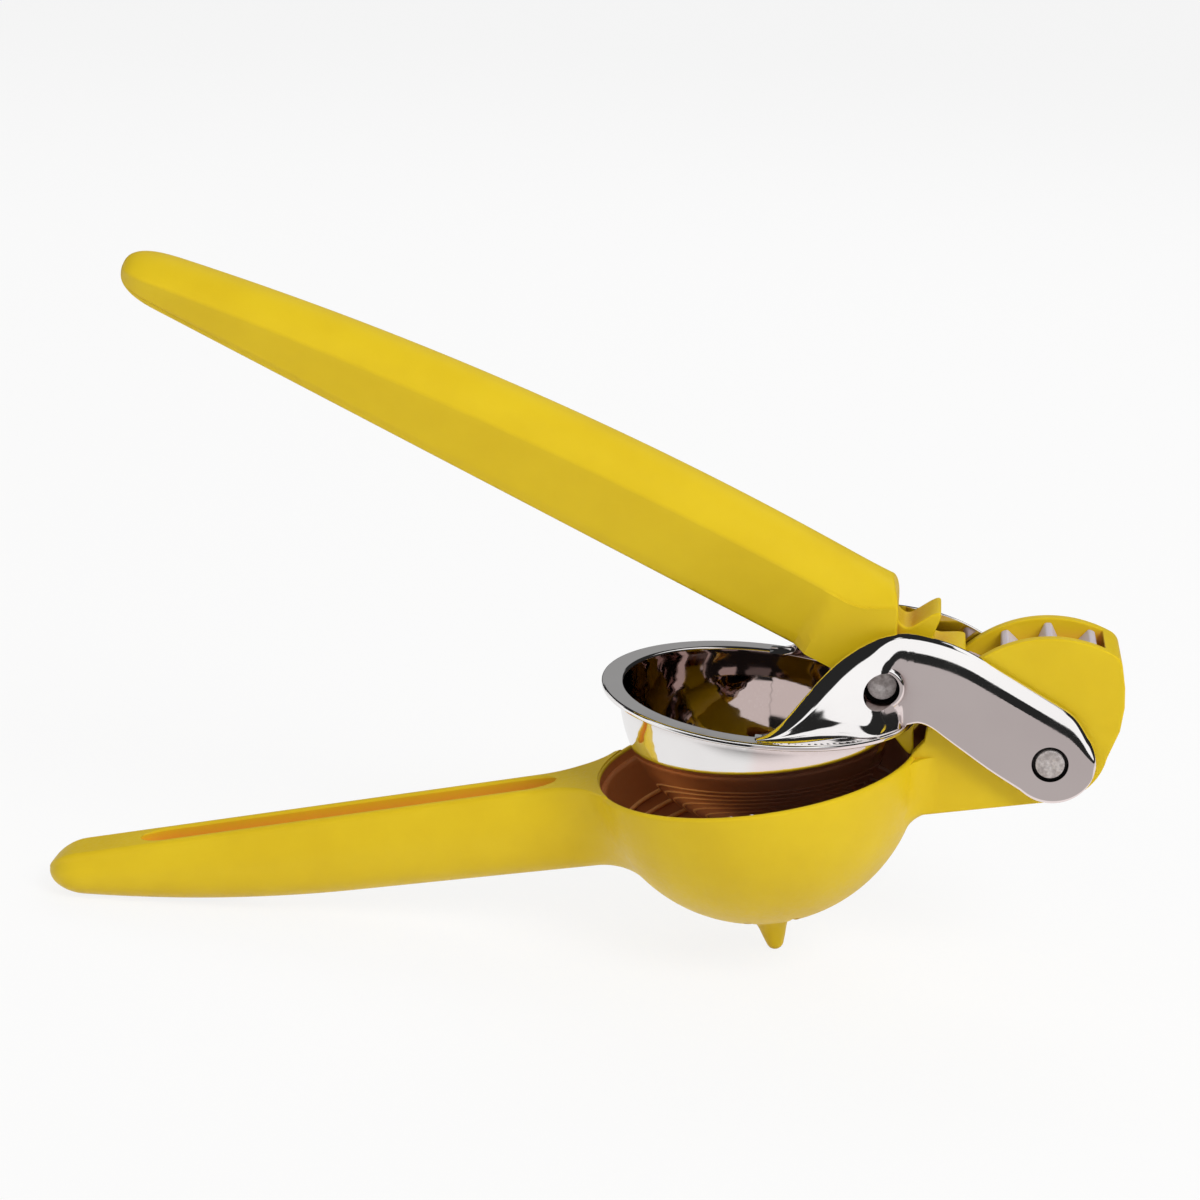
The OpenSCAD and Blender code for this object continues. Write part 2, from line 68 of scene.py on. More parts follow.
OPEN_ANGLE, PIN_RISE, HANDLE_RISE, GEAR_RATIO = 13.5, 19.5, 2.9, 17 / 12
GEAR_MODULE, HANDLE_TEETH, SECTOR_TEETH, ROOT_PLAY = 3.06, 12, 17, 0.6
PIN_DISTANCE = GEAR_MODULE * (HANDLE_TEETH + SECTOR_TEETH) / 2
HANDLE_PIN = (HINGE[0] - PIN_DISTANCE * math.cos(math.radians(PIN_RISE)),
              HINGE[1] + PIN_DISTANCE * math.sin(math.radians(PIN_RISE)))
PIN_R = 3.5
HUB_R, HUB_HALF, GEAR_HALF = 8.6, 10.4, 6.7

FLANGE_TOP, FLANGE_T, FLANGE_R = 1.0, 1.4, MOUTH_R - 0.3
CUP_INNER_R = FLANGE_R - 5.5
CUP_R = CUP_INNER_R + 1.0
ARM_GAP, ARM_HALF = 10.8, 14.1


QUARTER_TURN = Matrix.Rotation(math.radians(90), 4, "X")


def about_y(angle, centre=(0, 0)):
    """A turn about the axis along Y through a point of the X-Z plane."""
    there = Matrix.Translation((centre[0], 0, centre[1]))
    return there @ Matrix.Rotation(math.radians(angle), 4, "Y") @ there.inverted()


# The squeezer stands on its nub and its lower handle's heel, so its bowl is tipped. The scale,
# the shift and the turn bring the shapes to metres, in the place where the solids are.
STAND = (Matrix.Scale(0.001, 4) @ Matrix.Translation((46.0713, 0, 49.7327))
         @ about_y(-11.2066))
PRESS_AT = STAND @ about_y(OPEN_ANGLE, HINGE)
HANDLE_AT = (PRESS_AT @ Matrix.Translation((HANDLE_PIN[0], 0, HANDLE_PIN[1]))
             @ about_y(HANDLE_RISE + GEAR_RATIO * OPEN_ANGLE))


# ---- modelling -----------------------------------------------------------------------------

def only(obj):
    """Selects one object and nothing else."""
    if bpy.context.mode != "OBJECT":
        bpy.ops.object.mode_set(mode="OBJECT")
    bpy.ops.object.select_all(action="DESELECT")
    obj.select_set(True)
    bpy.context.view_layer.objects.active = obj
    return obj


def fresh(name):
    """The primitive that was just added, under its own name."""
    obj = bpy.context.active_object
    obj.name = obj.data.name = name
    return obj


def clean(obj):
    """Doubles merged, holes closed and faces turned outwards."""
    merge = 0.001
    only(obj)
    bpy.ops.object.mode_set(mode="EDIT")
    bpy.ops.mesh.select_mode(type="VERT")
    bpy.ops.mesh.select_all(action="SELECT")
    bpy.ops.mesh.remove_doubles(threshold=merge)
    bpy.ops.mesh.dissolve_degenerate(threshold=merge)
    bpy.ops.mesh.select_all(action="DESELECT")
    bpy.ops.mesh.select_non_manifold(extend=False, use_wire=False, use_multi_face=False,
                                     use_non_contiguous=False, use_verts=False)
    bpy.ops.mesh.fill_holes(sides=0)
    bpy.ops.mesh.select_all(action="SELECT")
    bpy.ops.mesh.normals_make_consistent(inside=False)
    bpy.ops.object.mode_set(mode="OBJECT")
    return obj


def skin(name, rings):
    """A grid wrapped round a row of rings, all with the same number of points."""
    across, along = len(rings[0]), len(rings)
    bpy.ops.object.select_all(action="DESELECT")
    bpy.ops.mesh.primitive_grid_add(x_subdivisions=across, y_subdivisions=along - 1)
    obj = fresh(name)
    for i, vertex in enumerate(obj.data.vertices):
        row, column = divmod(i, across + 1)
        vertex.co = rings[row][column % across]
    return clean(obj)


def outline_face(name, points):
    """A flat face through points of the X-Z plane."""
    bpy.ops.object.select_all(action="DESELECT")
    bpy.ops.mesh.primitive_circle_add(vertices=len(points), fill_type="NGON")
    obj = fresh(name)
    for vertex, (x, z) in zip(obj.data.vertices, points):
        vertex.co = (x, 0, z)
    return obj


def slab(name, points, low, high, edge=0.0, segments=3, sharp=50):
    """A plate between y = low and y = high, with its corners rounded."""
    obj = outline_face(name, points)
    only(obj)
    bpy.ops.object.mode_set(mode="EDIT")
    bpy.ops.mesh.select_all(action="SELECT")
    bpy.ops.transform.translate(value=(0, low, 0))
    bpy.ops.mesh.extrude_region_move(TRANSFORM_OT_translate={"value": (0, high - low, 0)})
    bpy.ops.mesh.select_all(action="SELECT")
    bpy.ops.mesh.normals_make_consistent(inside=False)
    bpy.ops.object.mode_set(mode="OBJECT")
    if edge:
        rounded(obj, edge, segments, sharp)
    return obj


def rounded(obj, width, segments=3, sharp=50):
    """Bevels the edges that are sharper than an angle."""
    only(obj)
    bevel = obj.modifiers.new("edge", "BEVEL")
    bevel.width = width
    bevel.segments = segments
    bevel.limit_method = "ANGLE"
    bevel.angle_limit = math.radians(sharp)
    bpy.ops.object.modifier_apply(modifier=bevel.name)
    return obj


def turned_part(name, profile, steps):
    """A vertex drawn out along a profile of (radius, height) and spun round Z."""
    bpy.ops.object.select_all(action="DESELECT")
    bpy.ops.mesh.primitive_plane_add(size=1, location=(profile[0][0], 0, profile[0][1]))
    obj = fresh(name)
    bpy.ops.object.transform_apply(location=True, rotation=False, scale=False)
    bpy.ops.object.mode_set(mode="EDIT")
    bpy.ops.mesh.select_mode(type="VERT")
    bpy.ops.mesh.select_all(action="SELECT")
    bpy.ops.mesh.merge(type="CENTER")
    for (r0, z0), (r1, z1) in zip(profile, profile[1:]):
        bpy.ops.mesh.extrude_vertices_move(
            TRANSFORM_OT_translate={"value": (r1 - r0, 0, z1 - z0)})
    bpy.ops.mesh.select_all(action="SELECT")
    bpy.ops.mesh.remove_doubles(threshold=1e-4)
    bpy.ops.mesh.spin(steps=steps, angle=2 * math.pi, center=(0, 0, 0), axis=(0, 0, 1))
    bpy.ops.object.mode_set(mode="OBJECT")
    return clean(obj)


def turned_across(name, centre, profile, steps=64):
    """A turned part laid across the squeezer, round a line along Y."""
    part = turned_part(name, profile, steps)
    shape(part, Matrix.Translation((centre[0], 0, centre[1])) @ QUARTER_TURN)
    return clean(part)


def shape(obj, matrix):
    """Moves or turns the mesh itself."""
    obj.data.transform(matrix)
    obj.data.update()
    return obj


def mirrored(obj, name):
    """A copy on the other side of the plane y = 0."""
    only(obj)
    bpy.ops.object.duplicate()
    twin = fresh(name)
    twin.data.transform(Matrix.Scale(-1, 4, (0, 1, 0)))
    return clean(twin)


def boolean(obj, others, operation):
    """Joins the other solids to a piece or cuts them out of it, and uses them up."""
    for other in others:
        only(obj)
        modifier = obj.modifiers.new(operation.lower(), "BOOLEAN")
        modifier.operation = operation
        modifier.solver = "MANIFOLD"
        modifier.object = other
        bpy.ops.object.modifier_apply(modifier=modifier.name)
        bpy.data.objects.remove(other, do_unlink=True)
    return obj


def joined(obj, *others):
    """The piece with the other solids added to it."""
    return boolean(obj, others, "UNION")


def cut(obj, *others):
    """The piece with the other solids taken out of it."""
    return boolean(obj, others, "DIFFERENCE")


def finish_piece(obj, name, at, body, material, nodes, sharp=38):
    """Smooth shading, the piece's place, its material, and what it stands for."""
    only(obj)
    bpy.ops.object.mode_set(mode="EDIT")
    bpy.ops.mesh.select_all(action="SELECT")
    bpy.ops.mesh.remove_doubles(threshold=0.004)
    bpy.ops.mesh.quads_convert_to_tris(quad_method="BEAUTY", ngon_method="BEAUTY")
    bpy.ops.object.mode_set(mode="OBJECT")
    shape(obj, at)
    bpy.ops.object.shade_smooth_by_angle(angle=math.radians(sharp))
    weighted = obj.modifiers.new("weighted", "WEIGHTED_NORMAL")
    weighted.keep_sharp = True
    weighted.weight = 50
    bpy.ops.object.modifier_apply(modifier=weighted.name)
    obj.data.materials.clear()
    obj.data.materials.append(material)
    obj.name = obj.data.name = name
    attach(obj, body)
    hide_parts(*nodes)
    return obj


def direction(angle, r=1.0):
    """The point at an angle and a distance from the origin: a cosine and a sine where r is 1."""
    return r * math.cos(math.radians(angle)), r * math.sin(math.radians(angle))


def quarter(step, first=0):
    """The cosines and sines of the angles up to 90."""
    return [direction(a) for a in range(first, 91, step)]


def arc(centre, r, start, end, steps):
    """Points along an arc, from one angle to another."""
    points = [direction(start + (end - start) * i / steps, r) for i in range(steps + 1)]
    return [(centre[0] + x, centre[1] + y) for x, y in points]


def blend(a, b, t):
    """From a to b as t goes from 0 to 1, and no further."""
    return a + (b - a) * min(1.0, max(0.0, t))


def ease(t):
    """From 0 to 1 with a soft start and a soft end."""
    t = min(1.0, max(0.0, t))
    return t * t * (3 - 2 * t)


def by_table(table, x):
    """A value read off a curve given as (x, value) pairs, smoothly between them."""
    if x <= table[0][0]:
        return table[0][1]
    if x >= table[-1][0]:
        return table[-1][1]
    i = max(k for k in range(len(table) - 1) if table[k][0] <= x)
    (x0, y0), (x1, y1) = table[i:i + 2]
    before = table[i - 1] if i else (x0 - (x1 - x0), y0 - (y1 - y0))
    after = table[i + 2] if i + 2 < len(table) else (x1 + (x1 - x0), y1 + (y1 - y0))
    slope_0 = (y1 - before[1]) / (x1 - before[0])
    slope_1 = (after[1] - y0) / (after[0] - x0)
    t = (x - x0) / (x1 - x0)
    h = x1 - x0
    return ((2 * t ** 3 - 3 * t ** 2 + 1) * y0 + (t ** 3 - 2 * t ** 2 + t) * h * slope_0
            + (3 * t ** 2 - 2 * t ** 3) * y1 + (t ** 3 - t ** 2) * h * slope_1)


def both_sides(half):
    """A half outline that runs from middle to middle, and its mirror image."""
    return half + [(-y, z) for y, z in half[-2:0:-1]]


def end_share(inside, reach):
    """How far a groove with round ends has opened, at a distance inside its end."""
    return math.sqrt(max(0.0, 1 - max(0.0, 1 - inside / reach) ** 2)) if inside > 0 else 0


# ---- materials -----------------------------------------------------------------------------

def material(name, colour, metallic, roughness):
    """A new material, with its node tree and its shader."""
    mat = bpy.data.materials.new(name)
    mat.use_nodes = True
    shader = mat.node_tree.nodes["Principled BSDF"]
    shader.inputs["Base Color"].default_value = (*colour, 1)
    shader.inputs["Metallic"].default_value = metallic
    shader.inputs["Roughness"].default_value = roughness
    return mat, mat.node_tree, shader


def add_node(tree, kind, **values):
    """A new node, with values set on its sockets or, where it has no such socket, on itself."""
    node = tree.nodes.new(kind)
    for key, value in values.items():
        if key in node.inputs:
            node.inputs[key].default_value = value
        else:
            setattr(node, key, value)
    return node


def feed(tree, socket, value):
    """Gives a socket a number, a colour or a link from another node."""
    if isinstance(value, (int, float)):
        socket.default_value = value
    elif isinstance(value, tuple):
        socket.default_value = (*value, 1)
    else:
        tree.links.new(value, socket)


def coordinates(tree, kind="Object"):
    """The coordinates of a point, whole and as x, y and z."""
    whole = add_node(tree, "ShaderNodeTexCoord").outputs[kind]
    split = add_node(tree, "ShaderNodeSeparateXYZ")
    tree.links.new(whole, split.inputs[0])
    return whole, [split.outputs[k] for k in "XYZ"]


def vector_node(tree, operation, source, other):
    """Vector arithmetic between a link and fixed numbers."""
    node = add_node(tree, "ShaderNodeVectorMath", operation=operation)
    tree.links.new(source, node.inputs[0])
    node.inputs[1].default_value = other
    return node.outputs["Value" if operation in ("DISTANCE", "DOT_PRODUCT") else "Vector"]


def noise_at(tree, scale, detail, stretch=None):
    """Noise on Object coordinates, in repeats per metre."""
    place = add_node(tree, "ShaderNodeTexCoord").outputs["Object"]
    if stretch:
        mapping = add_node(tree, "ShaderNodeMapping", Scale=stretch)
        tree.links.new(place, mapping.inputs["Vector"])
        place = mapping.outputs["Vector"]
    noise = add_node(tree, "ShaderNodeTexNoise", Scale=scale, Detail=detail)
    tree.links.new(place, noise.inputs["Vector"])
    return noise.outputs["Fac"]


def ramp(tree, source, low, high):
    """A value or colour that follows a noise between two ends."""
    node = add_node(tree, "ShaderNodeValToRGB")
    ends = [(*c, 1) if isinstance(c, tuple) else (c, c, c, 1) for c in (low, high)]
    for element, position, colour in zip(node.color_ramp.elements, (0.35, 0.65), ends):
        element.position = position
        element.color = colour
    tree.links.new(source, node.inputs["Fac"])
    return node.outputs["Color"]


def bump(tree, shader, height, strength):
    """Fine relief from a noise, a tenth of a millimetre deep at full strength."""
    node = add_node(tree, "ShaderNodeBump", Strength=strength, Distance=0.0001)
    tree.links.new(height, node.inputs["Height"])
    tree.links.new(node.outputs["Normal"], shader.inputs["Normal"])


# Limits that no measured value reaches, for a mask with an edge on one side only.
ANY_LOWER, ANY_HIGHER = -1.0, 2.0


def between(tree, source, low, high, soft):
    """1 where a value lies between two limits, 0 elsewhere, with soft edges."""
    edges = []
    for limit, before, after in ((low, 0.0, 1.0), (high, 1.0, 0.0)):
        edge = add_node(tree, "ShaderNodeMapRange", interpolation_type="SMOOTHSTEP")
        for socket, value in (("From Min", limit - soft), ("From Max", limit + soft),
                              ("To Min", before), ("To Max", after), ("Value", source)):
            feed(tree, edge.inputs[socket], value)
        edges.append(edge.outputs["Result"])
    return combine(tree, "MULTIPLY", *edges)


def combine(tree, operation, *values):
    """Arithmetic on two or more numbers or links, two at a time."""
    whole = values[0]
    for value in values[1:]:
        node = add_node(tree, "ShaderNodeMath", operation=operation)
        feed(tree, node.inputs[0], whole)
        feed(tree, node.inputs[1], value)
        whole = node.outputs[0]
    return whole


def mix_colour(tree, factor, first, second):
    """The first colour where the factor is 0 and the second where it is 1."""
    node = add_node(tree, "ShaderNodeMix", data_type="RGBA")
    for place, value in zip((0, 6, 7), (factor, first, second)):
        feed(tree, node.inputs[place], value)
    return node.outputs[2]


def openness(tree, reach, limit, soft):
    """1 where a piece's surface lies open, 0 where its own shape closes in on it: the mask for painted
    shade in hollows.
    """
    shelter = add_node(tree, "ShaderNodeAmbientOcclusion", samples=8, only_local=True, Distance=reach)
    return between(tree, shelter.outputs["AO"], limit, ANY_HIGHER, soft)


def moulded_nylon(name, light, dark, roughness, hollow_shade=None, limit=0.5, soft=0.3):
    """Nylon with a fine grain; painted shade in hollows of its own shape, where its colour runs to a
    darker hollow colour.
    """
    mat, tree, shader = material(name, light, 0.0, roughness)
    colour = ramp(tree, noise_at(tree, 55, 4), dark, light)
    # painted shade: where the piece's own shape closes in, the colour runs to the hollow shade colour
    if hollow_shade:
        colour = mix_colour(tree, openness(tree, 0.03, limit, soft), hollow_shade, colour)
    tree.links.new(colour, shader.inputs["Base Color"])
    tree.links.new(ramp(tree, noise_at(tree, 900, 3), roughness - 0.05, roughness + 0.06),
                   shader.inputs["Roughness"])
    shader.inputs["Specular IOR Level"].default_value = 0.3
    shader.inputs["Subsurface Weight"].default_value = 0.05
    shader.inputs["Subsurface Radius"].default_value = (0.004, 0.003, 0.001)
    shader.inputs["Subsurface Scale"].default_value = 0.3
    bump(tree, shader, noise_at(tree, 2600, 2), 0.16)
    return mat


def bowl_nylon(name, light, dark, hollow_shade, inside, ridge_highlight):
    """The moulded body's nylon, with painted shade in deep orange inside the bowl and its channel, and a
    painted highlight on its ridges.
    """
    mat = moulded_nylon(name, light, dark, 0.42, hollow_shade, 0.38, 0.18)
    tree = mat.node_tree
    base = tree.nodes["Principled BSDF"].inputs["Base Color"]
    outside = base.links[0].from_socket
    centre = STAND @ Vector((0, 0, 0))
    axis = (STAND.to_3x3() @ Vector((0, 0, 1))).normalized()
    mouth = axis.dot(centre)
    point, (x, y, _) = coordinates(tree)
    distance = vector_node(tree, "DISTANCE", point, centre)
    height = vector_node(tree, "DOT_PRODUCT", point, axis)

    # metres: the inside of the bowl, and the channel from it to the housing's pocket, where shade is
    # painted
    in_bowl = combine(tree, "MULTIPLY", between(tree, height, ANY_LOWER, mouth - 0.0007, 0.0003),
                      between(tree, distance, ANY_LOWER, MOUTH_R / 1000 + 0.0004, 0.0002))
    in_channel = combine(tree, "MULTIPLY", between(tree, y, -0.0074, 0.0074, 0.0001),
                         between(tree, distance, ANY_LOWER, 0.044, 0.001),
                         between(tree, x, centre.x + 0.030, ANY_HIGHER, 0.0005),
                         between(tree, height, mouth - 0.012, mouth + 0.0035, 0.0003))

    # painted shade, darker towards the hinge; towards the handle a painted highlight makes the ridges
    # paler
    turn_x = 0.040
    shaded = tuple(c * k for c, k in zip(inside, (0.5, 0.62, 1.2)))
    deep = mix_colour(tree, between(tree, x, turn_x, ANY_HIGHER, 0.022), inside, shaded)
    on_ridge_highlight = combine(tree, "MULTIPLY", between(tree, x, ANY_LOWER, turn_x, 0.018),
                       between(tree, distance, ANY_LOWER, INNER_R / 1000 - 0.0002, 0.0002))
    painted_light_tint = mix_colour(tree, on_ridge_highlight, deep, ridge_highlight)
    # the painted shade and the painted highlight are laid on inside the bowl and the channel only
    painted_light_mask = combine(tree, "MAXIMUM", in_bowl, in_channel)
    tree.links.new(mix_colour(tree, painted_light_mask, outside, painted_light_tint), base)
    return mat


def polished_steel():
    """Bright steel, with painted shade inside the cup, and dull with near-black painted shade in the
    grooves round the two pins.
    """
    mat, tree, shader = material("polished_steel", (0.84, 0.83, 0.83), 1.0, 0.05)
    point, (_, y, _) = coordinates(tree)
    flat = vector_node(tree, "MULTIPLY", point, (1, 0, 1))
    rounds = []
    # painted shade: the grooves round the two pins are coloured near black
    for pin, groove_r in ((HINGE, 0.00443), (HANDLE_PIN, 0.00428)):
        away = vector_node(tree, "DISTANCE", flat, PRESS_AT @ Vector((pin[0], 0, pin[1])))
        rounds.append(between(tree, away, ANY_LOWER, groove_r, 0.00003))
    face = ARM_HALF / 1000 - 0.00008
    groove_shade = combine(tree, "MULTIPLY", combine(tree, "MAXIMUM", *rounds),
                      between(tree, y, -face, face, 0.00005))
    polish = ramp(tree, noise_at(tree, 130, 5), 0.02, 0.08)
    tree.links.new(combine(tree, "MAXIMUM", polish, combine(tree, "MULTIPLY", groove_shade, 0.55)),
                   shader.inputs["Roughness"])
    bright = ramp(tree, noise_at(tree, 40, 3), (0.90, 0.875, 0.87), (0.94, 0.92, 0.91))
    # painted shade: inside the cup the steel's colour darkens to a brownish grey
    painted_light_tint = mix_colour(tree, openness(tree, 0.07, 0.7, 0.12), (0.50, 0.40, 0.38), bright)
    tree.links.new(mix_colour(tree, groove_shade, painted_light_tint, (0.05, 0.048, 0.048)), shader.inputs["Base Color"])
    bump(tree, shader, noise_at(tree, 420, 2, (1, 1, 6)), 0.02)
    return mat


def pin_steel():
    """The pins' ground ends, duller and rougher than the press."""
    mat, tree, shader = material("pin_steel", (0.62, 0.58, 0.57), 0.35, 0.5)
    tree.links.new(ramp(tree, noise_at(tree, 1100, 5), (0.40, 0.36, 0.35), (0.66, 0.62, 0.61)),
                   shader.inputs["Base Color"])
    tree.links.new(ramp(tree, noise_at(tree, 700, 3), 0.4, 0.62), shader.inputs["Roughness"])
    bump(tree, shader, noise_at(tree, 1600, 3), 0.3)
    return mat


LEMON, LEMON_DEEP = (0.81, 0.580, 0.012), (0.77, 0.540, 0.010)
# painted shade colours for the hollows of the body and of the handle
BODY_HOLLOW_SHADE, HANDLE_HOLLOW_SHADE = (0.92, 0.36, 0.06), (0.42, 0.15, 0.03)
# painted shade inside the bowl, and a painted highlight on the bowl's ridges
BOWL_SHADE_MAROON, RIDGE_HIGHLIGHT_ORANGE = (0.52, 0.17, 0.045), (0.86, 0.38, 0.10)
YELLOW = moulded_nylon("yellow_nylon", LEMON, LEMON_DEEP, 0.42, HANDLE_HOLLOW_SHADE)
BODY = bowl_nylon("body_nylon", LEMON, LEMON_DEEP, BODY_HOLLOW_SHADE, BOWL_SHADE_MAROON, RIDGE_HIGHLIGHT_ORANGE)
GREY = moulded_nylon("grey_nylon", (0.66, 0.60, 0.66), (0.60, 0.54, 0.60), 0.45)
CHROME = polished_steel()
PIN = pin_steel()


# ---- lower body ----------------------------------------------------------------------------

LOWER_REACH, LOWER_NOSE, LOWER_ROOT_R = 183.0, 9.0, 20.0
LOWER_TOP_HALF, LOWER_MID_HALF, LOWER_EDGE_R, LOWER_FULLNESS = 6.8, 8.7, 1.6, 0.92
TROUGH = (50.0, LOWER_REACH - 25.0)
TROUGH_HALF, TROUGH_FLOOR, LIP = 3.9, 4.2, 0.7
GROOVE_CORNER_R, CORNER_SHARE = 2.0, 0.7
NECK_ROOT_R = 8.0
# Bars that grow out of the bowl run on into its wall, which is hollowed afterwards.
BAR_START = OUTER_R * 0.72


def lower_top(x):
    """The lower grip's upper edge, level near the bowl and then falling slightly."""
    level, fall, fall_from = 0.4, 0.035, 45
    return level - fall * max(0.0, x - fall_from)


def lower_bottom(x):
    """The lower grip's underside, level near the bowl and then curving up."""
    drop, rise_from, rise_r = 22.9, 105.0, 360.0
    if x <= rise_from:
        return -drop
    return -drop + rise_r - math.sqrt(rise_r ** 2 - (x - rise_from) ** 2)


def rooted(x, y, z, ny, nz, r):
    """Where a bar that grows out of the bowl with a fillet has this point of its section."""
    aside, out = y * nz - z * ny, y * ny + z * nz
    ball = math.sqrt(OUTER_R ** 2 - aside ** 2)
    start = math.sqrt(max(0.0, (ball + r) ** 2 - (out + r) ** 2))
    end = start * ball / (ball + r)
    grow = 0 if x >= start else r - math.sqrt(r * r - (start - max(x, end)) ** 2)
    return y + ny * grow, z + nz * grow


def lower_ring(x, nose=1.0):
    """The grip's section at a distance x from the bowl's axis, from the trough's middle round."""
    top, low = lower_top(x), lower_bottom(x)
    middle = (top + low) / 2
    inside = min(x - TROUGH[0], TROUGH[1] - x)
    share = end_share(inside, 2 * TROUGH_HALF)
    half, lip, edge = TROUGH_HALF * share, LIP * share, LOWER_EDGE_R
    floor = low + TROUGH_FLOOR + 2 * (1 - share) if inside > 0 else top
    corner = min(GROOVE_CORNER_R, half * CORNER_SHARE)
    points = [(0, floor)]
    points += [(half - corner + corner * s, floor + corner - corner * c) if inside > 0 else (0.0, top)
               for c, s in quarter(18)]
    points += [(half + lip - lip * c, top - lip + lip * s) for c, s in quarter(18)]
    # each with the way that it moves where the grip flares into the bowl
    outer = [(LOWER_TOP_HALF - edge + edge * s, top - edge + edge * c, 1, 0) for c, s in quarter(15)]
    side = [(LOWER_TOP_HALF + (LOWER_MID_HALF - LOWER_TOP_HALF) * math.sin(i / 8 * math.pi / 2),
             blend(top - edge, middle, i / 8), 1, 0) for i in range(1, 9)]
    under = [(LOWER_MID_HALF * c ** LOWER_FULLNESS, middle - (middle - low) * s ** LOWER_FULLNESS, c, -s)
             for c, s in quarter(6, 6)]
    points += [rooted(x, y, z, ny, nz, LOWER_ROOT_R) for y, z, ny, nz in outer + side + under]
    points = [(y * nose, middle + (z - middle) * nose) for y, z in points]
    return [(-x, y, z) for y, z in both_sides(points)]


def lower_grip():
    """The lower handle: sections from the nose, along the trough and into the bowl."""
    tip, round_end = LOWER_REACH - LOWER_NOSE, 2 * TROUGH_HALF
    stations = [(tip + LOWER_NOSE * s, max(0.02, c)) for c, s in map(direction, range(90, 0, -9))]
    plain = [tip - (tip - TROUGH[1] - 0.4) * i / 5 for i in range(6)]
    rounding = [TROUGH[1] - round_end * (1 - direction(a)[0]) for a in range(3, 91, 12)]
    root_end = [TROUGH[0] + round_end * (1 - direction(a)[0]) for a in range(87, 2, -12)]
    first, last = rounding[-1] - 2, root_end[0] + 2
    run = [first - (first - last) * i / 30 for i in range(31)]
    flare_from = TROUGH[0] - 0.4
    root = [flare_from - (flare_from - BAR_START) * i / 18 for i in range(19)]
    stations += [(x, 1.0) for x in plain + rounding + run + root_end + root]
    return skin("lower_grip", [lower_ring(x, nose) for x, nose in stations])


def bowl_solid():
    """The bowl as a full half ball with a rounded rim."""
    rim = 0.9
    profile = [(0, -OUTER_R)] + arc((0, 0), OUTER_R, -88, -2.2, 44)
    profile += arc((OUTER_R - rim, -rim), rim, 8, 90, 6) + [(0, 0)]
    return turned_part("bowl_solid", profile, 128)


def bowl_hollow():
    """What is cut out of the bowl: ledge, recess, rounded mouth and squeezing ridges."""
    lip_r, above = 0.45, 12
    profile = [(0, -INNER_R)]
    start, spread = -88.0, math.degrees(RIDGE_R / INNER_R)
    for i in range(RIDGES - 1, -1, -1):
        angle = -math.degrees(math.asin((RIDGE_DEPTH + i * RIDGE_STEP) / INNER_R))
        profile += arc((0, 0), INNER_R, start, angle - spread * 1.5, 4 if i < RIDGES - 1 else 10)
        x, z = direction(angle, INNER_R)
        profile += [(x + dx, z + dz) for dx, dz in
                    (direction(angle - 90 - a, RIDGE_R) for a in range(0, 181, 30))]
        start = angle + spread * 1.5
    ledge_angle = -math.degrees(math.asin(RECESS / INNER_R))
    profile += arc((0, 0), INNER_R, start, ledge_angle - 1.2, 8)
    profile += [(INNER_R + 0.1, -RECESS - 0.35), (INNER_R + 0.35, -RECESS - 0.05),
                (INNER_R + 0.7, -RECESS), (MOUTH_R - 0.15, -RECESS), (MOUTH_R, -RECESS + 0.2),
                (MOUTH_R, -lip_r)]
    profile += [(MOUTH_R + lip_r - lip_r * c, -lip_r + lip_r * s) for c, s in quarter(15, 15)]
    profile += [(MOUTH_R + lip_r + 0.05, above), (0, above)]
    return turned_part("bowl_hollow", profile, 128)


def back_edge(inset):
    """The housing's rear wall, from its heel up to where it stands straight."""
    x = HINGE[0] + BACK_REACH - inset
    return [(x - 2.3, HINGE[1] + 5), (x - 0.6, HINGE[1] + 10.7), (x, HINGE[1] + 15.7)]


def housing():
    """A block with a pocket between its two cheeks, every edge of it rounded."""
    corner_x = HINGE[0] + BACK_REACH - BACK_CORNER_R
    reach = CHEEK_R - BACK_CORNER_R
    corner = (corner_x, HINGE[1] + math.sqrt(reach ** 2 - (corner_x - HINGE[0]) ** 2))
    corner_angle = math.degrees(math.atan2(corner[1] - HINGE[1], corner[0] - HINGE[0]))
    outline = [(INNER_R - 1, FLOOR_Z), (HINGE[0], FLOOR_Z)] + arc(HEEL, HEEL_R, -84, -20, 12)
    outline += back_edge(0) + arc(corner, BACK_CORNER_R, 0, corner_angle, 8)
    outline += arc(HINGE, CHEEK_R, corner_angle + 3, 165, 44) + [(INNER_R - 1, -1.0)]
    block = slab("housing", outline, -CHEEK_HALF, CHEEK_HALF)
    pocket_r, above = HEEL_R - BACK_WALL, 60
    turn = math.degrees(math.asin((HEEL[1] - SEAT_Z) / pocket_r))
    pocket = [(CHANNEL_FROM, above), (CHANNEL_FROM, SEAT_Z)] + arc(HEEL, pocket_r, -turn, -20, 8)
    pocket += back_edge(BACK_WALL) + [(HINGE[0] + BACK_REACH - BACK_WALL, above)]
    cut(block, slab("pocket", pocket, -CHEEK_GAP, CHEEK_GAP))
    return rounded(block, 0.55)


def neck_ring(x):
    """The neck's section between bowl and housing, just inside the housing's own."""
    top, edge, w, low = -0.75, 1.0, CHEEK_HALF - 0.01, FLOOR_Z + 0.01
    half = [(y, low, 0, -1) for y in (0, w - edge * 2, w - edge)]
    half += [(w - edge + edge * s, low + edge - edge * c, s, -c) for c, s in map(direction, (30, 60))]
    half += [(w, blend(low + edge, top, i / 8), 1, 0) for i in range(9)]
    half += [(w - 0.4, top + 0.12, 1, 0), (0, top + 0.12, 0, 0)]
    ring = [rooted(x, y, z, ny, nz, NECK_ROOT_R) for y, z, ny, nz in half]
    return [(x, y, z) for y, z in both_sides(ring)]


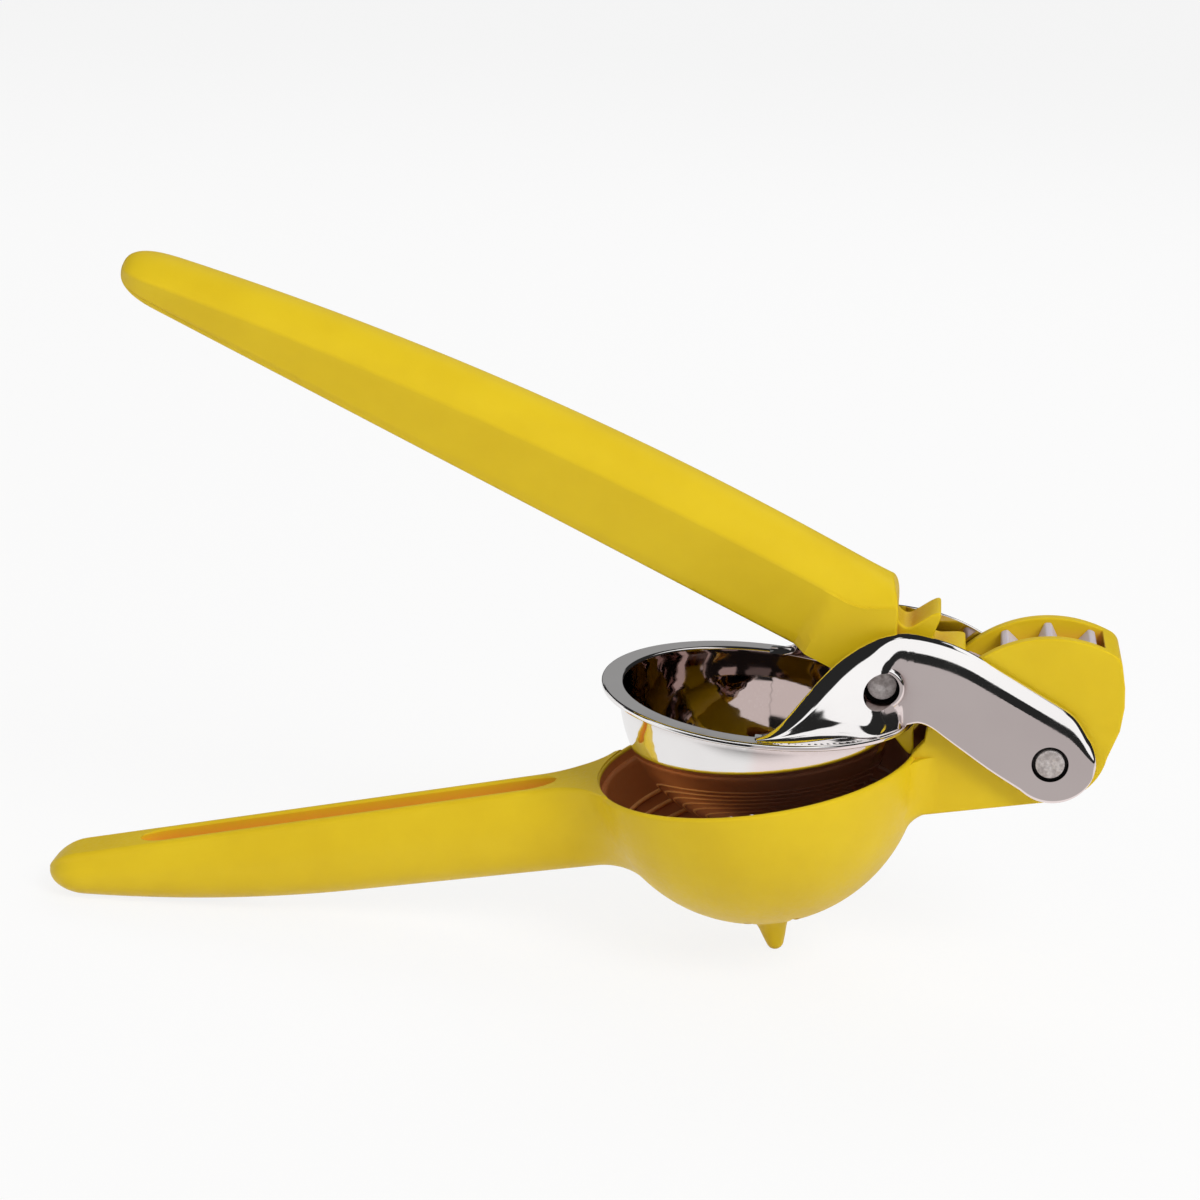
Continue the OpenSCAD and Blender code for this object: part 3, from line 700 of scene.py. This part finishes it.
def neck():
    """The flared root of the housing on the bowl."""
    start = OUTER_R + NECK_ROOT_R + 0.2
    return skin("neck", [neck_ring(start - (start - BAR_START) * i / 20) for i in range(21)])


def drip_nub():
    """The small foot under the bowl, flared into it."""
    tip_r, inside = 2.2, -38.2
    flare = [(2.45, 2.6), (2.95, 4.2), (3.4, 5.8), (3.85, 7.0), (4.45, 8.1), (5.3, 9.1), (6.5, 9.95),
             (8.0, 10.6), (9.5, 11.0)]
    profile = [(0, -NUB_DROP)] + arc((0, -NUB_DROP + tip_r), tip_r, -75, -12, 5)
    profile += [(r, -NUB_DROP + z) for r, z in flare] + [(flare[-1][0], inside), (0, inside)]
    return shape(turned_part("drip_nub", profile, 64), Matrix.Translation((-NUB_BACK, 0, 0)))


def drain_slots():
    """Round-ended bars in one mesh, one for each slot through the bottom of the bowl."""
    half = SLOT_W / 2
    outline = arc((SLOT_TO, 0), half, -90, 90, 10) + arc((SLOT_FROM, 0), half, 90, 270, 10)
    bar = shape(slab("slot_bars", outline, -50, -20), QUARTER_TURN @ Matrix.Scale(-1, 4, (0, 0, 1)))
    clean(bar)
    copies = []
    for i in range(1, SLOTS):
        only(bar)
        bpy.ops.object.duplicate()
        turn = Matrix.Rotation(math.radians(i * 360 / SLOTS), 4, "Z")
        copies.append(shape(fresh("slot_bar_%d" % i), turn))
    only(bar)
    for copy in copies:
        copy.select_set(True)
    bpy.ops.object.join()
    return bar


def pin_bore(centre):
    """The tool for a plain hole in which a pin turns."""
    r, past = PIN_R + 0.05, 20
    return turned_across("bore", centre, [(0, -past), (r, -past), (r, past), (0, past)])


def lower_body():
    """The bowl with its handle, its housing, its slots and the channel between them."""
    body = joined(bowl_solid(), lower_grip(), housing(), neck(), drip_nub())
    cut(body, bowl_hollow(), drain_slots())
    to, above = INNER_R + 14, 40
    channel = slab("channel", [(CHANNEL_FROM, SEAT_Z), (to, SEAT_Z), (to, above), (CHANNEL_FROM, above)],
                   -CHEEK_GAP, CHEEK_GAP)
    cut(body, channel, pin_bore(HINGE))
    finish_piece(body, "strainer_body", STAND, "lower", BODY, ["lower_body"])


# ---- gears and pins ------------------------------------------------------------------------

def round_corners(points, r, steps):
    """Cuts every corner of a closed outline back and puts an arc there."""
    result = []
    n = len(points)
    for i in range(n):
        p, before, after = (Vector(points[k % n]) for k in (i, i - 1, i + 1))
        a, b = before - p, after - p
        half = a.angle(b) / 2 if a.length > 1e-6 and b.length > 1e-6 else math.pi / 2
        back = min(r / max(0.2, math.tan(half)), a.length * 0.45, b.length * 0.45)
        start, end = p + a.normalized() * back, p + b.normalized() * back
        for k in range(steps + 1):
            t = k / steps
            q = start * (1 - t) ** 2 + p * 2 * t * (1 - t) + end * t ** 2
            result.append((q.x, q.y))
    return result


def toothed_rim(teeth, tip_r, root_r, angles):
    """The outline over the given teeth of a gear, with straight flanks and flat tips."""
    pitch_r = GEAR_MODULE * teeth / 2
    slope, play, narrowest = math.tan(math.radians(25)), 1.0, 1.6
    half = math.degrees((math.pi * GEAR_MODULE - play) / 4 / pitch_r)
    tooth = ((root_r, -1), (pitch_r, -1), (tip_r, -1), (tip_r, 1), (pitch_r, 1), (root_r, 1))
    points = []
    for angle in angles:
        for r, side in tooth:
            spread = half + math.degrees((pitch_r - r) * slope / pitch_r)
            points.append(direction(angle + side * max(spread, narrowest), r))
    return points


def sector_gear():
    """The grey toothed block between the cheeks, a little clear of its pocket."""
    step = 360 / SECTOR_TEETH
    first = 180 - PIN_RISE - OPEN_ANGLE
    pitch_r = GEAR_MODULE * SECTOR_TEETH / 2
    rim = toothed_rim(SECTOR_TEETH, pitch_r + GEAR_MODULE, pitch_r - GEAR_MODULE - ROOT_PLAY,
                      [first + i * step for i in range(-4, 2)])
    outline = [(HINGE[0] + x, HINGE[1] + z) for x, z in rim]
    seat, behind = SEAT_Z + 0.06, 0.4
    rear = HINGE[0] + BACK_REACH - BACK_WALL - behind
    outline += [(HINGE[0] - 15, seat), (HINGE[0], seat)]
    outline += arc(HEEL, HEEL_R - BACK_WALL - behind, -60, -20, 5)
    outline += [(rear - 2.3, HINGE[1] + 5.2), (rear - 1, HINGE[1] + 13)]
    half = CHEEK_GAP - 0.03
    gear = slab("sector_teeth", round_corners(outline, 0.8, 4), -half, half, 0.45)
    cut(gear, pin_bore(HINGE))
    finish_piece(gear, "toothed_sector", STAND, "lower", GREY, ["sector_gear"])


def turned_end(end):
    """The far end of a profile that is the same at both ends."""
    return [(r, -y) for r, y in end[::-1]]


def press_pin(name, centre, node):
    """A pin with its ends ground flush, a small chamfer and a centre mark at each end."""
    half, edge, r = ARM_HALF, 0.35, PIN_R - 0.02
    end = [(0, -half + 0.12), (0.55, -half + 0.1), (0.75, -half), (PIN_R - edge, -half),
           (PIN_R - 0.08, -half + 0.12), (r, -half + edge)]
    pin = turned_across(name, centre, end + [(r, 0)] + turned_end(end))
    finish_piece(pin, name, PRESS_AT, "press", PIN, [node], 30)


# ---- press ---------------------------------------------------------------------------------

ARM_TOP, SHOULDER_R, ARM_SLOPE = 23.3, 40.0, 25.4
EYE, EYE_R = (HINGE[0] + 0.5, HINGE[1] + 0.5), 10.4
FOOT_X, BAND_H = 36.0, 9.6
BOSS_R, BOSS_RISE, BOSS_EDGE_R = 5.45, 2.6, 0.9
PIN_SINK, WINDOW_R = 2.0, 22.42

# The flare from an arm down to the flange, with the press closed. Along it: the top edge's
# x, outer y and height, the wall's thickness there, and the root's azimuth on the flange.
FLARE = [(36.0, 14.1, 23.25, 3.3, 20.5), (33.6, 14.5, 23.3, 3.3, 24.0), (30.6, 15.6, 22.9, 3.3, 30.0),
         (27.4, 16.9, 21.8, 3.4, 36.5), (24.0, 18.3, 19.8, 3.5, 43.5), (20.6, 20.3, 16.9, 3.6, 50.5),
         (17.4, 23.0, 13.4, 3.6, 57.5), (14.4, 26.2, 9.9, 3.5, 64.5), (11.4, 29.6, 6.7, 3.3, 71.0),
         (8.2, 32.8, 4.0, 2.8, 77.0), (4.8, 35.2, 2.2, 2.2, 82.5), (1.4, 36.6, 1.25, 1.6, 87.5)]


def arm_top(x):
    """The arm's upper edge: round over the crest, straight down the back, round at the eye."""
    crest = HINGE[0] - 36.9
    bend = crest + SHOULDER_R * math.sin(math.radians(ARM_SLOPE))
    if x <= bend:
        return ARM_TOP - SHOULDER_R + math.sqrt(SHOULDER_R ** 2 - (x - crest) ** 2)
    knee, tangent, swell = 72.8, 79.2, 0.9
    if x <= knee:
        return arm_top(bend) - (x - bend) * math.tan(math.radians(ARM_SLOPE))
    if x >= tangent:
        return EYE[1] + math.sqrt(max(0.0, EYE_R ** 2 - (x - EYE[0]) ** 2))
    t = (x - knee) / (tangent - knee)
    return blend(arm_top(knee), arm_top(tangent), t) + swell * math.sin(math.pi * t)


def arm_bottom(x):
    """The arm's lower edge, from the foot of the flare to the eye."""
    low = EYE[0] - 6.4
    if x >= low:
        return EYE[1] - math.sqrt(max(0.0, EYE_R ** 2 - (x - EYE[0]) ** 2))
    return by_table([(34.0, 0.6), (36.0, 1.2), (38.8, 2.0), (41.8, 1.2), (45.4, -0.95),
                     (50.0, -3.7), (57.0, -7.85), (low, arm_bottom(low))], x)


def bezier(p0, p1, p2, p3, n):
    """Points along a curve that leaves p0 towards p1 and reaches p3 from p2."""
    return [p0 * (1 - t) ** 3 + p1 * 3 * t * (1 - t) ** 2 + p2 * 3 * t * t * (1 - t) + p3 * t ** 3
            for t in (i / n for i in range(n + 1))]


def rise_by(z):
    """A step straight up."""
    return Vector((0, 0, z))


def flank_ring(top_out, top_in, band_h, root_out, root_in, spread, foot, lean_in=0.0, slope=0.0):
    """Up the outer side, over the rounded top band, and down the inner side."""
    across = top_in - top_out
    edge = min(0.35, across.length * 0.2)
    inward = across.normalized()
    outward = Vector((root_out.x - top_out.x, root_out.y - top_out.y, 0))
    outward = outward.normalized() * slope if outward.length > 0.01 else Vector((0, 0, 0))
    shelf = top_out - rise_by(band_h) + outward * band_h
    reach = Vector((root_out.x - shelf.x, root_out.y - shelf.y, 0))
    rise = rise_by(shelf.z - root_out.z)
    outer = bezier(root_out, root_out - reach * spread + rise * 0.04,
                   shelf - rise * 0.5 + outward * rise.z * 0.5, shelf, 18)
    if foot > 0:
        low_edge = [outer[0] + inward * foot * (1 - c) - rise_by(foot * s)
                    for c, s in map(direction, (90, 68, 45, 22))]
    else:
        low_edge = [outer[0] - rise_by(0.27 * k) for k in (4, 3, 2, 1)]
    width = across.length - edge
    band = [shelf + inward * width * (1 - c) + rise_by(band_h * s) - outward * band_h * s
            for c, s in quarter(9, 9)]
    lip = [top_in - inward * edge * (1 - s) - rise_by(edge * (1 - c))
           for c, s in map(direction, (30, 60, 90))]
    down = rise_by(lip[-1].z - root_in.z)
    lean = (shelf - root_out).normalized() * lean_in
    lean.z = 0
    inner = bezier(lip[-1], lip[-1] - down * 0.4, root_in + down * 0.3 + lean, root_in, 12)[1:]
    last = root_in + rise_by(0.0001 if foot > 0 else -0.4)
    return [tuple(p) for p in low_edge + outer + band + lip + inner + [last]]


def arm_ring(x):
    """The arm's section at x, with its edges drawn in at the round end."""
    top, low = arm_top(x), arm_bottom(x)
    to_end = EYE[0] + EYE_R - x
    draw = 1 - math.sqrt(max(0.0, 1 - max(0.0, 1 - to_end / 0.9) ** 2))
    y_out, y_in = ARM_HALF - draw, ARM_GAP + draw * 0.4
    foot = min(0.7, (top - low) * 0.2)
    return flank_ring(Vector((x, y_out, top)), Vector((x, y_in, top)), min(BAND_H, (top - low) * 0.46),
                      Vector((x, y_out, low + foot)), Vector((x, y_in, low)), 0, foot)


def flare_ring(s):
    """The flare's section at a place s along its table, from the arm's foot out to the flange."""
    end = len(FLARE) - 1
    columns = [[(i, row[k]) for i, row in enumerate(FLARE)] for k in range(5)]
    x, y, z, thick, azimuth = (by_table(column, s) for column in columns)
    ahead, behind = ([by_table(columns[k], at) for k in (0, 1)] for at in (min(s + 0.05, end), s - 0.05))
    along = Vector((ahead[0] - behind[0], ahead[1] - behind[1], 0)).normalized()
    inward = Vector((along.y, -along.x, 0))
    if inward.y > 0:
        inward = -inward
    top_out = Vector((x, y, z))
    foot = Vector((*direction(azimuth), 0))
    out_z, in_z = FLANGE_TOP - 0.1, FLANGE_TOP - 0.3
    root_out = foot * (FLANGE_R - 0.55) + rise_by(out_z)
    root_out = Vector((x, y, out_z)).lerp(root_out, ease(s / 1.2))
    root_in = foot * (CUP_INNER_R + 0.25) + rise_by(in_z)
    root_in = Vector((x, ARM_GAP, in_z)).lerp(root_in, ease(s / 2.4))
    grown = ease(s / 3.0)
    spread = (0.5 + 0.2 * ease((s - 3) / 3)) * grown
    return flank_ring(top_out, top_out + inward * thick, min(BAND_H, (z - FLANGE_TOP) * 0.42),
                      root_out, root_in, spread, 0, 6.0 * grown, 0.34 * ease((s - 1) / 3))


def press_flank():
    """One arm with the flare that carries it down to the flange, for the side y < 0."""
    end, rounding, steps = EYE[0] + EYE_R, 12, 64
    rings = [arm_ring(end - rounding * (1 - direction(a)[0])) for a in range(3, 91, 3)]
    rings += [arm_ring(end - rounding - (end - rounding - FOOT_X) * i / 40) for i in range(1, 41)]
    rings += [flare_ring((len(FLARE) - 1) * i / steps) for i in range(1, steps + 1)]
    return skin("press_flank", [[(x, -y, z) for x, y, z in ring] for ring in rings])


def cup():
    """The cup with its flange, every edge of it rounded."""
    top, low, edge, mouth_edge = FLANGE_TOP, FLANGE_TOP - FLANGE_T, 0.5, 0.9
    profile = [(0, top - CUP_R)]
    profile += [(x, top + z) for x, z in arc((0, 0), CUP_R, -87, -4.6, 40)]
    profile += [(CUP_R + 0.25, low - 0.45), (CUP_R + 0.8, low - 0.1), (CUP_R + 1.5, low)]
    profile += arc((FLANGE_R - edge, low + edge), edge, -90, 0, 5)
    profile += arc((FLANGE_R - edge, top - edge), edge, 0, 90, 5)
    profile += arc((CUP_INNER_R + mouth_edge, top - mouth_edge), mouth_edge, 90, 165, 6)
    profile += [(x, top + z) for x, z in arc((0, 0), CUP_INNER_R, -3, -87, 40)]
    profile += [(0, top - CUP_INNER_R)]
    return turned_part("cup", profile, 144)


def boss():
    """The round pad that the handle's pin passes through, with a soft rim."""
    high = ARM_HALF + BOSS_RISE
    rim = arc((BOSS_R - BOSS_EDGE_R, high - BOSS_EDGE_R), BOSS_EDGE_R, 0, 90, 6)
    return turned_across("boss", HANDLE_PIN, [(0, ARM_GAP), (BOSS_R, ARM_GAP)] + rim + [(0, high)])


def pin_drill(name, centre, sink_r):
    """The tool for a pin's hole with a counterbore at each end."""
    past, floor, chamfer = 40, ARM_HALF - PIN_SINK, 0.25
    end = [(0, -past), (sink_r, -past), (sink_r, -floor - chamfer), (sink_r - chamfer, -floor),
           (PIN_R, -floor)]
    return turned_across(name, centre, end + turned_end(end))


def press():
    """The cup with both arms, the pads for the handle's pin, and the room for the gears."""
    flank = press_flank()
    other = mirrored(flank, "press_flank_other")
    pad = boss()
    other_pad = mirrored(pad, "boss_other")
    body = joined(cup(), flank, other, pad, other_pad)
    half = GEAR_HALF + 1
    window = turned_across("gear_window", HANDLE_PIN,
                           [(0, -half), (WINDOW_R, -half), (WINDOW_R, half), (0, half)])
    cut(body, window, pin_drill("handle_pin_hole", HANDLE_PIN, 4.25),
        pin_drill("hinge_pin_hole", HINGE, 4.4))
    finish_piece(body, "steel_press", PRESS_AT, "press", CHROME, ["press"], 32)


# ---- upper handle --------------------------------------------------------------------------

UPPER_REACH, UPPER_NOSE, NOSE_POWER, NOSE_LEAN = 208.0, 12.0, 2.7, 0.13
BACK_TOP, BACK_R, BACK_HIGHEST = 22.4, 860, 45
CREASE_Z, CREASE_R, CREASE_FROM, CREASE_LIFT = 13.5, 1250, 35, 6.8 * 0.92
UPPER_LOW, UPPER_BOTTOM_HALF, UPPER_MID_HALF, UPPER_TAPER = -3.3, 6.8, 10.2, 1.2
HOLLOW = (26.0, UPPER_REACH - 14.0)
HOLLOW_HALF, HOLLOW_ROOF, HOLLOW_LIP = 4.2, 3.6, 0.7
GRIP_END_U, GRIP_END_SOFT = 14, 1.1

# Where the grip stops above the gears, as its distance from the pin at each height.
SHOULDER = [(-3.3, 0.0), (8.4, 0.3), (12.0, 2.4), (16.3, 4.2), (19.5, 6.1), (21.4, 7.8), (22.6, 9.1)]


def upper_ring(u, nose=1.0, edge=0.0):
    """The grip's section at a distance u from the pin; edge draws its outline in."""
    low, bottom = UPPER_LOW, UPPER_BOTTOM_HALF
    top = BACK_TOP - BACK_R + math.sqrt(BACK_R ** 2 - (u - BACK_HIGHEST) ** 2)
    crease = CREASE_Z - CREASE_R + math.sqrt(CREASE_R ** 2 - max(0.0, u - CREASE_FROM) ** 2)
    crease += CREASE_LIFT * ease((20 - u) / 13.6)
    half = UPPER_MID_HALF - UPPER_TAPER * max(0.0, u) / UPPER_REACH
    inside = min(u - HOLLOW[0], HOLLOW[1] - u)
    share = end_share(inside, 2 * HOLLOW_HALF)
    gap, lip = HOLLOW_HALF * share, HOLLOW_LIP * share
    roof = top - HOLLOW_ROOF - 3 * (1 - share) if inside > 0 else low
    deep = min(GROOVE_CORNER_R, gap * CORNER_SHARE)
    points = [(0, roof)]
    points += [(gap - deep + deep * s, roof - deep + deep * c) if inside > 0 else (0, low)
               for c, s in quarter(18)]
    points += [(gap + lip - lip * c, low + lip - lip * s) for c, s in quarter(18)]
    corner = 1.3
    points += [(bottom - corner + corner * s, low + corner - corner * c) for c, s in quarter(15)]
    for i in range(1, 15):
        z = blend(low + corner, crease - 0.6, i / 14)
        points.append((blend(bottom, half, (z - low) / (crease - low)), z))
    start = math.radians(24)
    rise = (top - crease) / (1 - math.sin(start))
    across, base = half / math.cos(start), crease - rise * math.sin(start)
    turns = [start + (math.pi / 2 - start) * (i / 22) for i in range(23)]
    back = [(across * math.cos(a), base + rise * math.sin(a)) for a in turns]
    # the fold between side and back is softened over about 1.5 mm
    side_end, first, second = (Vector(p) for p in (points[-1], back[0], back[1]))
    points += [tuple(side_end * (1 - t) ** 2 + first * 2 * t * (1 - t) + second * t ** 2)
               for t in (i / 6 for i in range(1, 6))]
    points += back[1:]
    # near the pin the sides stand upright, flush with the hub
    middle, flat = (top + low) / 2, ease((24.0 - u) / 2.0)
    shaped = []
    for y, z in points:
        if low + 0.05 < z < crease - 0.2:
            y = blend(y, max(y, HUB_HALF - 0.25 + 0.2 * (z - low) / 16), flat)
        elif z <= low + 0.05:
            y = y * blend(1, 1.4, flat)
        y, z = y * (1 - edge / 10), z + (middle - z) * edge / 12
        shaped.append((y * nose, middle + (z - middle) * nose))
    return both_sides(shaped)


def upper_grip():
    """The upper handle's grip: sections from the nose to the shoulder above the gears."""
    tip, round_end = UPPER_REACH - UPPER_NOSE, 2 * HOLLOW_HALF
    rings = []
    for t in (math.sin(math.radians(a)) for a in range(90, 0, -6)):
        nose = max(0.03, (1 - t ** NOSE_POWER) ** (1 / NOSE_POWER)) if t < 1 else 0.03
        u = tip + UPPER_NOSE * t
        rings.append([(-u + NOSE_LEAN * max(0.0, 10.0 - z), y, z) for y, z in upper_ring(u, nose)])
    stations = [tip - (tip - HOLLOW[1] - 0.3) * i / 2 for i in range(3)]
    stations += [HOLLOW[1] - round_end * (1 - direction(a)[0]) for a in range(3, 91, 12)]
    first, last = stations[-1] - 2, HOLLOW[0] + 10
    stations += [first - (first - last) * i / 34 for i in range(35)]
    stations += [HOLLOW[0] + round_end * (1 - direction(a)[0]) for a in range(87, 2, -12)]
    rings += [[(-u, y, z) for y, z in upper_ring(u)] for u in stations]
    start, soft = HOLLOW[0] - 0.3, GRIP_END_SOFT
    for t in (i / 16 for i in range(17)):
        rings.append([(-blend(start, by_table(SHOULDER, z) + soft, t), y, z)
                      for y, z in upper_ring(start - t * GRIP_END_U)])
    last_ring = upper_ring(start - GRIP_END_U)
    for c, s in quarter(15, 15):
        drawn = upper_ring(start - GRIP_END_U, 1.0, soft * (1 - c))
        rings.append([(-(by_table(SHOULDER, z0) + soft - soft * s), y, z)
                      for (y, z), (_, z0) in zip(drawn, last_ring)])
    end_ring = rings[-1]
    rings += [[(x, y * t, z) for x, y, z in end_ring] for t in (0.85, 0.6, 0.3, 0.0)]
    return skin("upper_grip", rings)


def upper_handle():
    """The grip with its hub and its gear, bored for the pin."""
    grip = upper_grip()
    edge = 0.9
    side = [(HUB_R - edge, -HUB_HALF), (HUB_R - edge * 0.5, -HUB_HALF + edge * 0.13),
            (HUB_R - edge * 0.13, -HUB_HALF + edge * 0.5), (HUB_R, -HUB_HALF + edge)]
    hub = turned_across("hub", (0, 0), [(0, -HUB_HALF)] + side + turned_end(side) + [(0, HUB_HALF)], 72)
    step = 360 / HANDLE_TEETH
    phase = -PIN_RISE - OPEN_ANGLE + HANDLE_RISE + (1 + GEAR_RATIO) * OPEN_ANGLE
    pitch_r = GEAR_MODULE * HANDLE_TEETH / 2
    root_r = pitch_r - GEAR_MODULE - ROOT_PLAY
    # a wave of rounded teeth: one corner on each crest and one in each gap, both rounded off
    crest, gap = pitch_r + GEAR_MODULE + 2.0, root_r - 1.8
    rim = [direction(phase + (i / 2 - 1.5) * step, gap if i % 2 else crest) for i in range(-1, 10)]
    rim += [direction(phase + 3.55 * step, root_r + 0.8), (-8, 6), (-8, -2), (-2, -6)]
    teeth = slab("handle_teeth", round_corners(rim, 2.6, 10), -GEAR_HALF, GEAR_HALF, 0.8, 4, 60)
    joined(grip, hub, teeth)
    cut(grip, pin_bore((0, 0)))
    finish_piece(grip, "lever_handle", HANDLE_AT, "handle", YELLOW, ["upper_handle"])


# ---- stage, light and camera ---------------------------------------------------------------

def box_mask(tree, axes, limits, soft):
    """1 inside a box of limits on the given axes."""
    return combine(tree, "MULTIPLY", *(between(tree, axis, low, high, soft)
                                       for axis, (low, high) in zip(axes, limits)))


def mix_shader(tree, share, first, second):
    """Two shaders mixed by a share from 0 to 1."""
    node = add_node(tree, "ShaderNodeMixShader")
    for socket, output in zip(node.inputs, (share, first.outputs[0], second.outputs[0])):
        tree.links.new(output, socket)
    return node


# What polished steel sees of the floor: limits in metres on x and y, and their softness.
NEAR_PAPER = (((-0.3, 1.2), (-0.13, 0.3)), 0.04)
GREY_CARD = (((0.045, 1.5), (-1.2, 1.4)), 0.012)
SIDE_CARD = (((-4, -0.19), (-4, 0.5)), 0.015)
NEAR_LEVEL, CARD_LEVEL, ROOM_LEVEL, CARD_TINT = 0.85, 0.46, 0.02, (1, 0.89, 0.88)


def stage():
    """White paper; polished steel sees cards on it and the dark room beyond."""
    bpy.ops.object.select_all(action="DESELECT")
    bpy.ops.mesh.primitive_plane_add(size=8)
    floor = fresh("floor")
    mat, tree, shader = material("floor_paper", (0.93, 0.93, 0.93), 0.0, 0.9)
    path = add_node(tree, "ShaderNodeLightPath")
    _, (x, y, _) = coordinates(tree)
    near, card, side = (box_mask(tree, (x, y), limits, soft)
                        for limits, soft in (NEAR_PAPER, GREY_CARD, SIDE_CARD))
    level = combine(tree, "MAXIMUM", combine(tree, "MULTIPLY", near, NEAR_LEVEL),
                    combine(tree, "MULTIPLY", card, CARD_LEVEL), side, ROOM_LEVEL)
    mirrored_floor = add_node(tree, "ShaderNodeEmission")
    tree.links.new(level, mirrored_floor.inputs["Strength"])
    tree.links.new(mix_colour(tree, card, (1, 1, 1), CARD_TINT), mirrored_floor.inputs["Color"])
    paper = add_node(tree, "ShaderNodeEmission", Strength=1.0)
    lit = combine(tree, "MULTIPLY", path.outputs["Is Camera Ray"], 0.85)
    seen = mix_shader(tree, lit, shader, paper)
    whole = mix_shader(tree, path.outputs["Is Glossy Ray"], seen, mirrored_floor)
    tree.links.new(whole.outputs[0], tree.nodes["Material Output"].inputs["Surface"])
    floor.data.materials.append(mat)


LAMP_AIM = Vector((0, 0, 0.06))


def area_light(name, place, size, watts, colour=(1, 1, 1)):
    """A soft lamp aimed at the squeezer, which polished surfaces don't show."""
    light = bpy.data.lights.new(name, "AREA")
    light.shape = "RECTANGLE"
    light.size, light.size_y = size
    light.energy = watts
    light.color = colour
    lamp = bpy.data.objects.new(name, light)
    bpy.context.collection.objects.link(lamp)
    lamp.location = place
    lamp.rotation_euler = (LAMP_AIM - Vector(place)).to_track_quat("-Z", "Y").to_euler()
    lamp.visible_glossy = False


# White panels round the object, as limits on a direction's x, y and z, with their levels.
PANELS = [(((-0.14, 0.63), (-1.0, -0.10), (0.16, 0.77)), 1.0),
          (((0.6, 1.0), (-1.0, -0.45), (0.16, 0.77)), 1.0),
          (((0.42, 0.63), (-0.4, 0.52), (0.45, 0.97)), 1.0),
          (((0.33, 0.5), (0.15, 0.5), (0.7, 0.97)), 1.0),
          (((-1.1, -0.14), (-1.1, -0.15), (0.10, 0.62)), 1.0),
          (((-0.5, 0.22), (0.86, 1.1), (0.12, 0.36)), 0.30),
          (((-1.0, -0.66), (0.3, 0.75), (0.0, 0.36)), 0.9)]
MATT_LEVEL = 0.39


def world():
    """White to the camera, an even level to matt surfaces, and lit panels in polished ones."""
    studio = bpy.data.worlds.new("studio")
    bpy.context.scene.world = studio
    studio.use_nodes = True
    tree = studio.node_tree
    background = tree.nodes["Background"]
    path = add_node(tree, "ShaderNodeLightPath")
    _, axes = coordinates(tree, "Generated")
    panels = [combine(tree, "MULTIPLY", box_mask(tree, axes, limits, 0.015), level)
              for limits, level in PANELS]
    even = add_node(tree, "ShaderNodeMapRange")
    seen = combine(tree, "MAXIMUM", path.outputs["Is Camera Ray"], path.outputs["Is Transmission Ray"])
    for socket, value in (("To Min", MATT_LEVEL), ("To Max", 1.0), ("Value", seen)):
        feed(tree, even.inputs[socket], value)
    choice = add_node(tree, "ShaderNodeMix", data_type="FLOAT")
    tree.links.new(path.outputs["Is Glossy Ray"], choice.inputs["Factor"])
    tree.links.new(even.outputs["Result"], choice.inputs["A"])
    tree.links.new(combine(tree, "MAXIMUM", *panels, ROOM_LEVEL), choice.inputs["B"])
    tree.links.new(choice.outputs["Result"], background.inputs["Strength"])
    background.inputs["Color"].default_value = (1, 1, 1, 1)


def camera():
    """A 90 mm lens that looks slightly down on the squeezer from the hinge's side."""
    data = bpy.data.cameras.new("camera")
    data.lens = 90
    data.sensor_width = 36
    data.sensor_fit = "HORIZONTAL"
    data.clip_end = 20
    cam = bpy.data.objects.new("camera", data)
    bpy.context.collection.objects.link(cam)
    azimuth, elevation, roll = (math.radians(a) for a in (8.64, 15.61, -8.83))
    right = Vector((math.cos(azimuth), math.sin(azimuth), 0))
    back = Vector((math.sin(azimuth) * math.cos(elevation),
                   -math.cos(azimuth) * math.cos(elevation), math.sin(elevation)))
    turn = Matrix((right, back.cross(right), back)).transposed() @ Matrix.Rotation(roll, 3, "Z")
    bowl_in_view = Vector((38.41, -39.09, -737.33))
    tip = STAND.to_3x3().normalized()
    place = STAND @ -(turn @ bowl_in_view)
    cam.matrix_world = Matrix.LocRotScale(place, (tip @ turn).to_quaternion(), None)
    bpy.context.scene.camera = cam


camera()
world()
stage()
area_light("key_light", (0.95, -1.0, 1.35), (0.9, 0.9), 20)
area_light("fill_light", (-1.1, -0.7, 0.5), (0.8, 0.8), 1.5, (1.0, 0.80, 0.55))
area_light("back_light", (0.1, 1.1, 1.0), (1.2, 0.6), 4)
bpy.context.scene.view_settings.view_transform = "Standard"

lower_body()
sector_gear()
press_pin("press_pivot_pin", HINGE, "hinge_pin")
press_pin("handle_pivot_pin", HANDLE_PIN, "handle_pin")
upper_handle()
press()
